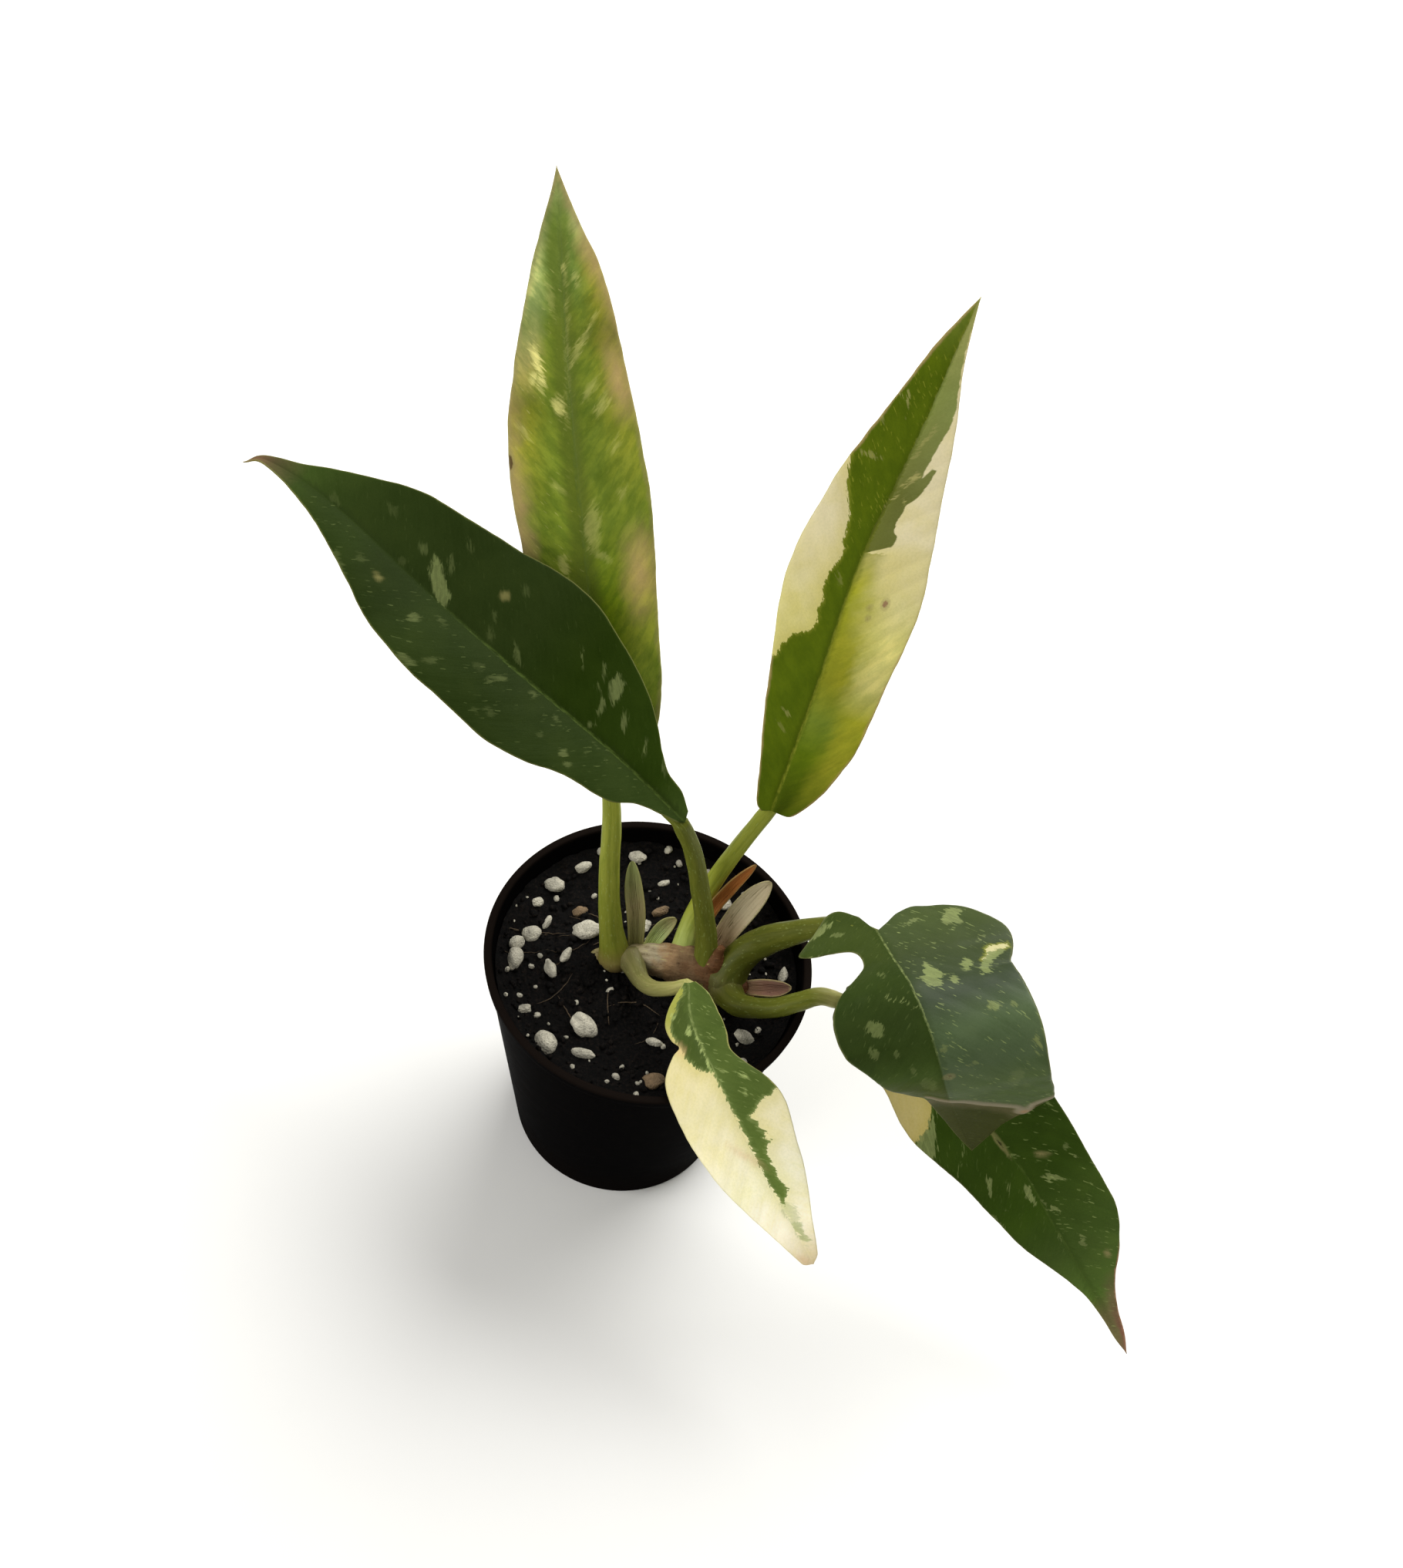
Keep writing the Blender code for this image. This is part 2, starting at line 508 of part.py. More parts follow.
def sheath_node(sheath, home, crown_cutter):
    """A gutter that narrows to its tip: across is half * shape(u) * v, and the middle line sinks
    by depth * shape(u) * (1 - v^2), where shape(u) = (0.65 + 0.7 u) * (1 - u^3) ^ 0.7."""
    grid = bmesh.new()
    bmesh.ops.create_grid(grid, x_segments=SHEATH_ROWS, y_segments=SHEATH_CELLS, size=1.0)
    spine = smooth_rows(sheath["spine"], 60)
    along = unit(np.gradient(spine, axis=0))
    facing = np.array(sheath["facing"])
    facing = unit(facing - (along @ facing)[:, None] * along)
    across = np.cross(along, facing)
    ends = np.linspace(0.0, 1.0, 60)
    for vert in grid.verts:
        u, v = (vert.co.x + 1) / 2, vert.co.y
        shape = (0.65 + 0.7 * u) * max(1 - u ** 3, 0.0) ** 0.7
        middle, out, side = (np.array([np.interp(u, ends, column) for column in table.T])
                             for table in (spine, facing, across))
        sink = sheath["depth"] * shape * (1 - v * v)
        vert.co = Vector(middle + side * sheath["half"] * shape * v - out * sink)
    bmesh.ops.remove_doubles(grid, verts=grid.verts, dist=WELD)
    bmesh.ops.triangulate(grid, faces=grid.faces, quad_method="SHORT_EDGE")
    mesh = bpy.data.meshes.new(sheath["name"])
    grid.to_mesh(mesh)
    grid.free()
    material = finish(sheath["name"], sheath["colour"], SHEATH_ROUGHNESS)
    made = add_object(sheath["name"], mesh, home, material)
    thick = made.modifiers.new("thickness", "SOLIDIFY")
    thick.thickness = SHEATH
    thick.offset = 0.0
    applied(made)
    return boolean(made, "DIFFERENCE", crown_cutter)


def stem_solid(name, home, grow=0.0):
    """The crown, its growing tip and its root as one solid, grown outwards by grow."""
    parts = []
    for part, points, radii, count in (("crown", CROWN, CROWN_RADII, 14),
                                       ("tip", GROWING_TIP, GROWING_TIP_RADII, 5),
                                       ("root", ROOT, ROOT_RADII, 6)):
        route = smooth_rows(points, count)
        ends = unit(route[[0, -1]] - route[[1, -2]]) * grow
        route[[0, -1]] += ends
        parts.append(tube(f"{name}_{part}", route, eased_radii(radii, count) + grow, home))
    crown, tip, root = parts
    boolean(crown, "UNION", tip)
    boolean(crown, "UNION", root)
    remove(tip, root)
    crown.name = name
    return crown


def turned(name, profile, sides, home, material=None):
    """A solid turned about Z from a profile of (radius, height) that runs down its outer side."""
    mesh = bpy.data.meshes.new(name)
    edges = [(i, i + 1) for i in range(len(profile) - 1)]
    mesh.from_pydata([(radius, 0.0, height) for radius, height in profile], edges, [])
    made = add_object(name, mesh, home, material)
    screw = made.modifiers.new("turn", "SCREW")
    screw.steps = screw.render_steps = sides
    screw.use_merge_vertices = True
    screw.merge_threshold = WELD
    return applied(made)


def wall_radius(height):
    """Outer radius of the pot at a height."""
    return (FOOT_DIAMETER + (RIM_DIAMETER - FOOT_DIAMETER) * height / POT_HEIGHT) / 2


def pot_node(home, cutters):
    inner_foot = wall_radius(POT_FLOOR) - POT_WALL
    inner_rim = wall_radius(POT_HEIGHT) - POT_WALL
    corner = [(wall_radius(0) - FOOT_ROUND * (1 - math.cos(turn)), FOOT_ROUND * (1 - math.sin(turn)))
              for turn in np.radians((0, 30, 60, 90))]
    lip_foot = POT_HEIGHT - LIP_HEIGHT
    profile = [
        (0.0, POT_FLOOR), (inner_foot, POT_FLOOR), (inner_rim, POT_HEIGHT),
        (wall_radius(POT_HEIGHT) + LIP_PROUD * 0.4, POT_HEIGHT),
        (wall_radius(POT_HEIGHT) + LIP_PROUD, POT_HEIGHT - LIP_PROUD),
        (wall_radius(lip_foot) + LIP_PROUD, lip_foot),
        (wall_radius(lip_foot) + 0.0001, lip_foot - LIP_PROUD),
        *corner, (0.0, 0.0)]
    made = turned("pot", profile, POT_SIDES, home, finish("pot", POT_COLOUR, 0.45))
    for number in range(DRAIN_HOLES):
        hole = bmesh.new()
        bmesh.ops.create_cone(hole, cap_ends=True, segments=12, radius1=DRAIN_DIAMETER / 2,
                              radius2=DRAIN_DIAMETER / 2, depth=4 * POT_FLOOR)
        mesh = bpy.data.meshes.new("drain_hole")
        hole.to_mesh(mesh)
        hole.free()
        cutter = as_cutter(add_object(f"drain_hole_{number}", mesh, cutters))
        turn = 2 * math.pi * (number + 0.5) / DRAIN_HOLES
        cutter.location = (DRAIN_RING * math.cos(turn), DRAIN_RING * math.sin(turn), POT_FLOOR / 2)
        boolean(made, "DIFFERENCE", cutter)
    made.data.shade_smooth()
    made.data.set_sharp_from_angle(angle=math.radians(35))
    return made


def soil_height(x, y):
    """Height of the soil's uneven top: low round the crown, rising to the wall of the pot."""
    rim_radius = wall_radius(POT_HEIGHT - SOIL_BELOW_RIM)
    dish = SOIL_DISH * (1 - min(1.0, math.hypot(x, y) / rim_radius) ** SOIL_DISH_POWER)
    level = POT_HEIGHT - SOIL_BELOW_RIM - dish
    uneven = math.sin(310 * x + 1.0) * math.cos(270 * y + 0.4) + 0.6 * math.sin(520 * x - 430 * y)
    return level + SOIL_BUMP * uneven


def granule(name, place, height, radius, flatness, turn, home):
    """A squashed lump whose middle lies at the given height, sunk by half into the soil."""
    lump = bmesh.new()
    bmesh.ops.create_icosphere(lump, subdivisions=1, radius=radius)
    mesh = bpy.data.meshes.new(name)
    lump.to_mesh(mesh)
    lump.free()
    made = add_object(name, mesh, home)
    made.scale = (1.0, GRANULE_WIDTH, flatness)
    made.rotation_euler = (GRANULE_TILT * math.sin(turn), GRANULE_TILT * math.cos(turn), turn)
    made.location = (*place, height)
    return made


def granule_places():
    """The large granules by hand, then small ones scattered evenly, clear of the crown."""
    draw = random.Random(GRANULE_SEED)
    places = [((x, y), size, GRANULE_FLATNESS, math.radians(turn)) for x, y, size, turn in LARGE_GRANULES]
    reach = wall_radius(POT_HEIGHT - SOIL_BELOW_RIM) - POT_WALL - GAP - 0.0030
    while len(places) < len(LARGE_GRANULES) + GRANULE_COUNT:
        radius = reach * math.sqrt(draw.random())
        turn = draw.uniform(0, 2 * math.pi)
        x, y = radius * math.cos(turn), radius * math.sin(turn)
        size = draw.uniform(*GRANULE_SIZES)
        flatness, spin = draw.uniform(0.6, 0.9), draw.uniform(0, 6)
        over_crown = all(low < way < high for way, (low, high) in zip((x, y), CROWN_STRETCH))
        crowded = any(math.dist((x, y), other) < size + gap + 0.0006 for other, gap, *rest in places)
        if not over_crown and not crowded:
            places.append(((x, y), size, flatness, spin))
    return places


def soil_node(home, cutters, root_cutter):
    base_height = POT_FLOOR + GAP
    clearance = POT_WALL + GAP * 1.2
    top_radius = wall_radius(POT_HEIGHT - SOIL_BELOW_RIM) - clearance
    rings = [(top_radius * number / SOIL_RINGS, POT_HEIGHT - SOIL_BELOW_RIM)
             for number in range(SOIL_RINGS + 1)]
    profile = [*rings, (wall_radius(base_height) - clearance, base_height), (0.0, base_height)]
    made = turned("soil", profile, SOIL_SIDES, home, finish("soil", SOIL_COLOUR, 0.95))
    for vert in made.data.vertices:
        if vert.co.z > POT_HEIGHT - SOIL_BELOW_RIM - 0.0001:
            vert.co.z = soil_height(vert.co.x, vert.co.y)
    surface = BVHTree.FromPolygons([vert.co for vert in made.data.vertices],
                                   [tuple(face.vertices) for face in made.data.polygons])
    lumps = collection("granules")
    for number, (place, size, flatness, spin) in enumerate(granule_places()):
        hit = surface.ray_cast(Vector((*place, POT_HEIGHT)), Vector((0, 0, -1)))[0]
        granule(f"granule_{number:02d}", place, hit.z, size, flatness, spin, lumps)
    boolean(made, "UNION", lumps)
    remove(*lumps.objects)
    bpy.data.collections.remove(lumps)
    return boolean(made, "DIFFERENCE", root_cutter)


def main():
    clear_scene()
    plant = collection("potted_ring_of_fire_philodendron")
    cutters = collection("cutters")
    cutters.hide_render = True
    crown_cutter = as_cutter(stem_solid("crown_cutter", cutters, grow=GAP))
    stem = stem_solid("stem", plant)
    stem.data.materials.append(finish("stem", STEM_COLOUR, 0.6))
    stem.data.shade_smooth()
    pot_node(plant, cutters)
    soil_node(plant, cutters, crown_cutter)
    for leaf in LEAVES:
        leaf_node(leaf, plant, crown_cutter)
    for sheath in SHEATHS:
        sheath_node(sheath, plant, crown_cutter)


main()
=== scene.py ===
import math

import bmesh
import bpy
import numpy as np
from bpy.props import FloatProperty, FloatVectorProperty, IntProperty, PointerProperty
from bpy.types import Operator, Panel, PropertyGroup
from mathutils import Matrix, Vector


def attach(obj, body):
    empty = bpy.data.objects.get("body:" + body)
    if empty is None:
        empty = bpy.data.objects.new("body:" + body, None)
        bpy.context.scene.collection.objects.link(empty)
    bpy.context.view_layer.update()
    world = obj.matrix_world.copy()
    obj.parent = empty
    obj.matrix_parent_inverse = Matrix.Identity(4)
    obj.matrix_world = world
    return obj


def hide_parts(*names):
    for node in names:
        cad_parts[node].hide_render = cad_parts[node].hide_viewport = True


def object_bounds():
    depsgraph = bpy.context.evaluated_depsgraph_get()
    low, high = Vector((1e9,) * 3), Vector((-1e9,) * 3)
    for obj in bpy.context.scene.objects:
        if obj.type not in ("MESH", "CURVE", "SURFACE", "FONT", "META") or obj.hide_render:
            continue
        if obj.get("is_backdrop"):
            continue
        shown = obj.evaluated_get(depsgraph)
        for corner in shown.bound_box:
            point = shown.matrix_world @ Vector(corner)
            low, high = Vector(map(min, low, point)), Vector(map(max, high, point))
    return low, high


bl_info = {
    "name": "Potted Ring of Fire Philodendron",
    "version": (1, 0, 0),
    "blender": (4, 5, 0),
    "location": "3D View > Sidebar > Philodendron",
    "description": "Builds the leaves, crown, soil, pot and stage of a small variegated plant",
    "category": "Object",
}

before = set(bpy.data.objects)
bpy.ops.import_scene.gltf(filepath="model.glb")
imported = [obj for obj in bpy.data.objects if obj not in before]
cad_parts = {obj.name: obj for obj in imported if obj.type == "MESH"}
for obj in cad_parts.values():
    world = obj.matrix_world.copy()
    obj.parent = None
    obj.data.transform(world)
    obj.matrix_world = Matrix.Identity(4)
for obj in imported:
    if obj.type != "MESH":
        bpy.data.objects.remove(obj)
CAD_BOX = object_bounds()

MM = 0.001
TAU = 2 * math.pi

# Pot and soil, as in the solids
RIM_DIAMETER = 64.0 * MM
FOOT_DIAMETER = 45.0 * MM
POT_HEIGHT = 60.0 * MM
POT_WALL = 1.0 * MM
POT_FLOOR = 1.2 * MM
LIP_HEIGHT = 2.6 * MM
LIP_PROUD = 0.6 * MM
FOOT_RING = 2.2 * MM
FOOT_HOLLOW = 0.5 * MM
DRAIN_HOLES = 6
DRAIN_RING = 14.5 * MM
DRAIN_DIAMETER = 5.2 * MM
SOIL_BELOW_RIM = 3.3 * MM
SOIL_DISH = 4.3 * MM
SOIL_DISH_POWER = 6
SOIL_BUMP = 0.3 * MM
SOIL_TO_WALL = 0.36 * MM
SOIL_TO_FLOOR = 0.3 * MM
FIBRE_REACH = 28.5 * MM

# The pot's profile: the radius of its corners and the length of its steps; and the ends of the plugs
# that cut its drainage holes
PROFILE_ROUND = 0.5 * MM
PROFILE_STEP = 1.6 * MM
PLUG_REACH = 2.0 * MM
PLUG_TOP = 4.0 * MM

# Half the thickness of blades and sheaths, and the relief of the blades
BLADE_HALF = 0.27 * MM
LEAST_REACH = 0.08 * MM
GROOVE_DEPTH = 0.16 * MM
GROOVE_WIDTH = 0.75 * MM
VEIN_SPACING = 5.4 * MM
VEIN_DEPTH = 0.035 * MM
VEIN_WIDTH = 0.35 * MM
SWELL = 0.035 * MM
VEIN_SHARE = {"leaf_dark_left": 0.4, "leaf_domed": 0.7}
EDGE_RIPPLE = 0.09 * MM
EDGE_LIFT = 0.22 * MM
CREASE_RIDGE = 0.35 * MM
NORMAL_STEP = 0.3 * MM

# How far, in mm, the outlines of markings are ragged, and a depth well outside all of them
RAG = 0.25
OUTSIDE = -9.0

# A stalk widens towards its foot, where it clasps the crown
FOOT_FLARE = 0.40
FOOT_FLARE_REACH = 3.0 * MM

# Grids: steps along and sides round each surface, the size of a blade's cells and the crown's voxels
CURVE_STEPS = 24
RIB_SAMPLES = 240
CELL = 0.36 * MM
BLADE_COLUMNS = 71
FOOT_STEPS = 110
UNDER_STEPS = 90
STALK_SIDES = 40
CAP_RINGS = 5
SHEATH_ROWS, SHEATH_COLUMNS = 90, 33
SPINE_STEPS, LIMB_SIDES = 60, 36
BED_RINGS, WALL_RINGS, FLOOR_RINGS, BED_SIDES = 130, 20, 8, 280
FIBRE_STEPS, FIBRE_SIDES = 22, 5
HOLE_SIDES = 28
CROWN_VOXEL = 0.26 * MM

# The camera: degrees it looks down, degrees it leans about its own axis, and its distance from its aim
CAMERA_DOWN = 51.7
CAMERA_LEAN = 13.0
CAMERA_AIM = (0.0024, 0.0446, 0.0600)
CAMERA_DISTANCE = 0.388

# Pale granules that lie in the soil: x, y, half length in mm, and turn in degrees; some are bark
GRANULES = (
    (-13.6, 6.7, 3.2, 10), (-9.5, -15.3, 2.9, -12), (-8.1, -20.9, 2.3, 0), (-26.5, -0.6, 1.9, 60),
    (-24.3, 2.8, 2.1, 35), (-21.8, 6.4, 1.7, 80), (-26, -4.6, 2.6, 100), (-7.4, 26.2, 1.9, 0),
    (-18.7, -3.9, 2.3, -55), (-17.6, 20.4, 1.9, 20), (-22.2, 14.8, 2.3, 5), (-16, 11.2, 1.7, 30),
    (-16.3, -0.2, 1.9, 75), (-21.4, -14.8, 1.4, 40), (-15.6, -21.3, 2.7, -55), (4.9, -14.9, 1.8, 0),
    (6, -24.1, 2.2, 20), (21.7, -9.6, 2.4, -15), (22, -16, 1.6, 30), (0.3, 15.8, 2.1, 40),
    (27, 5.6, 1.9, 90), (24.8, -3, 1.4, 0), (-2.2, 11.2, 1.5, 70), (-0.5, 22, 1.4, 15),
    (-24.5, 9.8, 1.4, 50), (12.8, 20.5, 1.6, 65),
)
TAN_GRANULES = (11, 16, 19)

# Crown, in mm: the way and the radii of its short lying stem, of its growing tip, and of the root
# that stands in the soil
CROWN_LIMBS = (
    (((-10.5, 2.5, 50.5), (-5, 2.4, 53), (3, 2.8, 54.5), (11, 2.6, 55), (17.5, 0.8, 54.8),
      (21.5, -1.5, 52.5)), (2.16, 3.24, 3.78, 4.32, 3.96, 1.98)),
    (((12.8, 2.2, 54.5), (13, 2.6, 59), (13.4, 3.3, 62.5)), (3.8, 2.7, 1)),
    (((6, 2.6, 54), (5, 1.5, 42), (3, 0, 28)), (3.6, 2.6, 1.2)),
)

# Each leaf, in mm: its stalk from the crown up to the blade, its midrib from there to the tip, the
# radii along both, the way across the blade at both ends, how far each half folds up (degrees, +
# side then - side), how the edges wave, and its outline. A row of the outline is a line across the
# blade: its place along the midrib, then where it meets the + edge and the - edge as (along, across).
LEAVES = (
    dict(name="leaf_mottled", stalk_radii=(2.6, 2.1, 1.9), rib_radius=1.3, fold=(8, 8), wave=0.6, waves=2.6,
         phases=(0.3, 2.2), across=((0.95, 0.3, 0.1), (0.97, 0.18, 0.14)),
         stalk=((-6.8, 2.2, 53.5), (-9.2, 4.8, 62), (-11.2, 8.5, 72), (-12.8, 12.8, 83.5)),
         midrib=((-15.5, 19, 93), (-25, 37, 114), (-34, 54, 135), (-42, 74, 151), (-49, 94, 166)),
         outline=((0, -1.2, 3.4, -1, -3), (1.5, 1, 7.6, 1.2, -6.6), (6, 5.8, 9.8, 6.4, -9),
                  (14, 13.4, 11.4, 14, -10.3), (26, 26, 12.2, 26, -10.9), (39, 39, 12.9, 40, -11.3),
                  (50, 50, 13.2, 51, -12), (62, 62, 12.1, 62.5, -11.7), (74, 74, 10.6, 73, -9.8),
                  (85, 85, 8.9, 84, -7.3), (92.5, 92.5, 6.9, 92, -5.4), (99.5, 99.5, 4, 99, -3.4),
                  (106, 106, 1.6, 106, -1.2), (110.6, 110.6, 0, 110.6, 0))),
    dict(name="leaf_dark_left", stalk_radii=(2.4, 2, 1.8), rib_radius=1.4, fold=(5, 30), wave=0.8, waves=3,
         phases=(1, 2.9), across=((0.4, 0.8, 0.35), (0.4, 0.8, 0.35)),
         stalk=((11.6, 1.6, 54.5), (10, 5.6, 63), (6.6, 8.6, 74), (3.5, 9.4, 84.5)),
         midrib=((1, 8, 94), (-14.5, 12.5, 103.5), (-34, 17.5, 113.5), (-52, 24.5, 120.5), (-74, 37, 125),
                 (-88, 43, 126), (-93, 43, 124.5)),
         outline=((0, 1, 2, 1.2, -1.2), (4, 4.5, 3.8, 5.5, -3), (9, 8.4, 4.4, 10, -5.2),
                  (12.5, 12, 6.4, 13.8, -8.2), (16, 15.6, 9.2, 18, -9.5), (20.5, 20, 12.4, 22, -10),
                  (25, 24.7, 14.8, 26.5, -11.3), (31, 30.8, 17, 31.5, -13.4), (39, 39, 19, 38.5, -14.8),
                  (48, 48, 19, 47, -14.4), (58, 58, 17, 57, -14.2), (68, 69, 14.7, 66, -12.6),
                  (77.5, 78, 12.5, 76, -9), (87, 87, 8, 86, -5.9), (96, 96, 3.3, 95.5, -3.2),
                  (102, 102, 1.5, 102, -1.5), (108.2, 108.2, 0, 108.2, 0))),
    dict(name="leaf_cream_right", stalk_radii=(2.1, 1.9, 1.7), rib_radius=1.3, fold=(10, 10), wave=0.6,
         waves=2.4, phases=(0, 1.7), across=((0.97, 0.1, 0), (0.97, 0.1, 0)),
         stalk=((6, 4.4, 54.6), (6.6, 10.2, 60), (8.6, 13.8, 67.4), (11.8, 16, 78)),
         midrib=((16.5, 18.5, 90), (19, 30, 112), (21, 41, 136), (25.5, 52, 158), (29.5, 63, 181)),
         outline=((0, -0.1, 1.4, -0.5, -2), (0.6, 0.2, 4.2, 1.1, -3.4), (6, 5.6, 7.6, 6.5, -4.9),
                  (12, 12, 9.8, 13, -6.5), (18.5, 18, 11.2, 19, -7.9), (29, 29, 12.1, 29, -9.8),
                  (42, 42, 13.2, 42, -11.8), (50, 50, 12.9, 50, -12.2), (59, 58, 11.3, 60, -11.2),
                  (69.5, 69, 8.3, 70, -9.9), (80.5, 80, 5.4, 81, -7.1), (90.5, 90, 2.3, 91, -4.5),
                  (97.2, 97, 0.9, 97.5, -2.1), (102.3, 102.3, 0, 102.3, 0))),
    dict(name="leaf_cream_front", stalk_radii=(2.1, 1.7, 1.5), rib_radius=1.1, fold=(5, 5), wave=0.3,
         waves=2, phases=(0, 1.5), across=((-0.77, -0.5, -0.2), (-0.77, -0.5, -0.3)),
         stalk=((-3.2, 1.2, 54.5), (-0.6, -4.4, 57.2), (2.2, -7.4, 60), (5.5, -8.9, 63.8)),
         midrib=((8.5, -9.5, 68), (11, -16.5, 65.5), (20, -28.5, 62.5), (30, -39.5, 57),
                 (42.5, -50.5, 48.5)),
         outline=((0, -0.2, 1, -0.2, -1.4), (3, 3, 2.9, 2.7, -4.3), (7.2, 6.7, 5.1, 8, -5.5),
                  (10, 9.6, 5, 11.8, -5.5), (12.4, 11.3, 4.1, 14.6, -4.7), (14.2, 12.5, 6.1, 16.7, -5.1),
                  (17.6, 16, 9.1, 20, -6.8), (22, 20.5, 10, 24.5, -9.1), (28.5, 28.5, 9.8, 29, -9.7),
                  (36, 36, 8.5, 35.5, -8.5), (43.5, 44, 6.1, 43, -6.8), (50.5, 51, 3.8, 50, -4),
                  (55.6, 56, 2.2, 55.6, -2), (57, 57.2, 1.5, 56.9, -1.3), (57.8, 57.8, 0, 57.8, 0))),
    dict(name="leaf_domed", stalk_radii=(3.2, 3, 2.1), rib_radius=1.6, fold=(-10, -5), wave=0.3, waves=2.2,
         phases=(0.6, 2), across=((-0.93, -0.25, -0.2), (-0.97, -0.18, -0.14)),
         stalk=((15.8, 1.5, 55.5), (17.8, 4.5, 60), (21, 5.8, 64.5), (26, 5.2, 71), (33, 3.6, 78.5)),
         midrib=((40.5, 0, 85), (43.3, -6.5, 88), (47, -15, 92.2), (51.2, -22.5, 91.5), (54.5, -26.5, 87.5),
                 (57.3, -27.6, 81.5), (61, -25.5, 71.5), (68.2, -24.3, 56.3)),
         outline=((0, -6.2, 1.6, -4.6, -5.4), (0, -9.4, 4.4, -5.9, -9.2), (0, -9.3, 7, -5, -12.3),
                  (0, -7, 9.4, -4.2, -15.6), (0, -4.4, 12.2, -2.3, -18.5), (0, -0.6, 15.4, 1, -20.9),
                  (0, 0.9, 13, 4.2, -22.8), (0, 1.2, 10.5, 7, -23.5), (0.4, 1.8, 8.2, 10, -23),
                  (1.6, 3, 6.1, 13.3, -21.4), (4, 5.3, 5.3, 16.5, -19.8), (7.2, 8, 5.6, 19.5, -19.3),
                  (10.6, 10.4, 7.8, 22.2, -19.3), (14.5, 14.3, 12.2, 25, -19.4),
                  (19, 18.7, 15.3, 28.5, -19.3), (24, 23.8, 16, 31.8, -19.3), (29, 29, 14.8, 35.2, -19),
                  (34, 34, 12.2, 39.2, -18.7), (39, 39, 10.6, 44, -18.6), (43, 43, 8, 49, -18.6),
                  (46.2, 45.2, 4.9, 54, -17.6), (50.5, 50, 3.8, 57.2, -12.8), (56.2, 56, 2.6, 60, -8),
                  (62.2, 62, 1.4, 64, -3.8), (67.8, 67.8, 0, 67.8, 0))),
    dict(name="leaf_drooping", stalk_radii=(2.6, 2, 1.9), rib_radius=1.4, fold=(5, 5), wave=0.7, waves=2.6,
         phases=(0.8, 2.4), across=((-0.5, -0.75, -0.3), (-0.54, -0.65, -0.5)),
         stalk=((16.5, -1, 55), (19.5, -4.8, 57), (25.5, -6.1, 60.5), (30, -5.2, 63.3), (34, -3.7, 64.8)),
         midrib=((38.5, -3, 64), (56, -10, 58), (76, -18, 49.5), (92, -28, 36.5), (111, -41, 20)),
         outline=((0, -0.4, 1.6, -1, -2.6), (1, 1.2, 4.4, 0.3, -6.2), (6.5, 6.2, 6.4, 5.4, -10),
                  (12.5, 12, 6.8, 12, -12.3), (18.8, 18, 8.2, 19.8, -13.6), (25, 24, 10.9, 27.5, -14.2),
                  (31.5, 30.5, 12.1, 34.5, -14.3), (41.5, 41, 11.5, 43, -13.9), (51, 51, 10.5, 52, -13),
                  (61, 61, 8.2, 61, -13), (67, 67, 6, 67, -12.3), (73, 73, 3.6, 73, -9.6),
                  (79, 79, 1.6, 79, -5.4), (84.8, 85, 0.8, 84.6, -3), (90, 90, 0.6, 90, -1.7),
                  (94.2, 94.2, 0, 94.2, 0))),
)

# Sheaths, in mm: the old bud scales round the crown. Each has a spine from foot to tip, its widest
# half width, how deep its gutter is, and the way its hollow faces.
SHEATHS = (
    dict(name="sheath_pale_upright", half=2.1, depth=1, facing=(0.2, -0.7, 0.6),
         spine=((-2.8, 2.8, 54), (-4.2, 6.2, 62), (-6, 9, 68), (-7.4, 10.8, 74.5))),
    dict(name="sheath_pale_leaning", half=1.9, depth=0.8, facing=(0.1, -0.6, 0.8),
         spine=((-0.8, 3, 55.6), (0.3, 5.6, 57.4), (1.8, 7.8, 59.2), (3.6, 9.4, 60.5))),
    dict(name="sheath_dried", half=1.7, depth=0.7, facing=(0.4, -0.8, 0.5),
         spine=((9.2, 6.6, 56.8), (9.8, 10.1, 63), (12.7, 12.7, 70.2), (16.4, 14.5, 77.5))),
    dict(name="sheath_pink_upright", half=2.8, depth=1, facing=(-0.2, -0.8, 0.5),
         spine=((12.5, 6.2, 56), (14.2, 9.1, 61.2), (17.1, 11.9, 68), (20, 13.4, 74.5))),
    dict(name="sheath_pink_lying", half=2, depth=0.8, facing=(0, -0.3, 0.9),
         spine=((19, 0, 55.6), (22.5, -0.4, 57.8), (25.8, -0.4, 58.8), (28.8, 0, 59.8))),
)

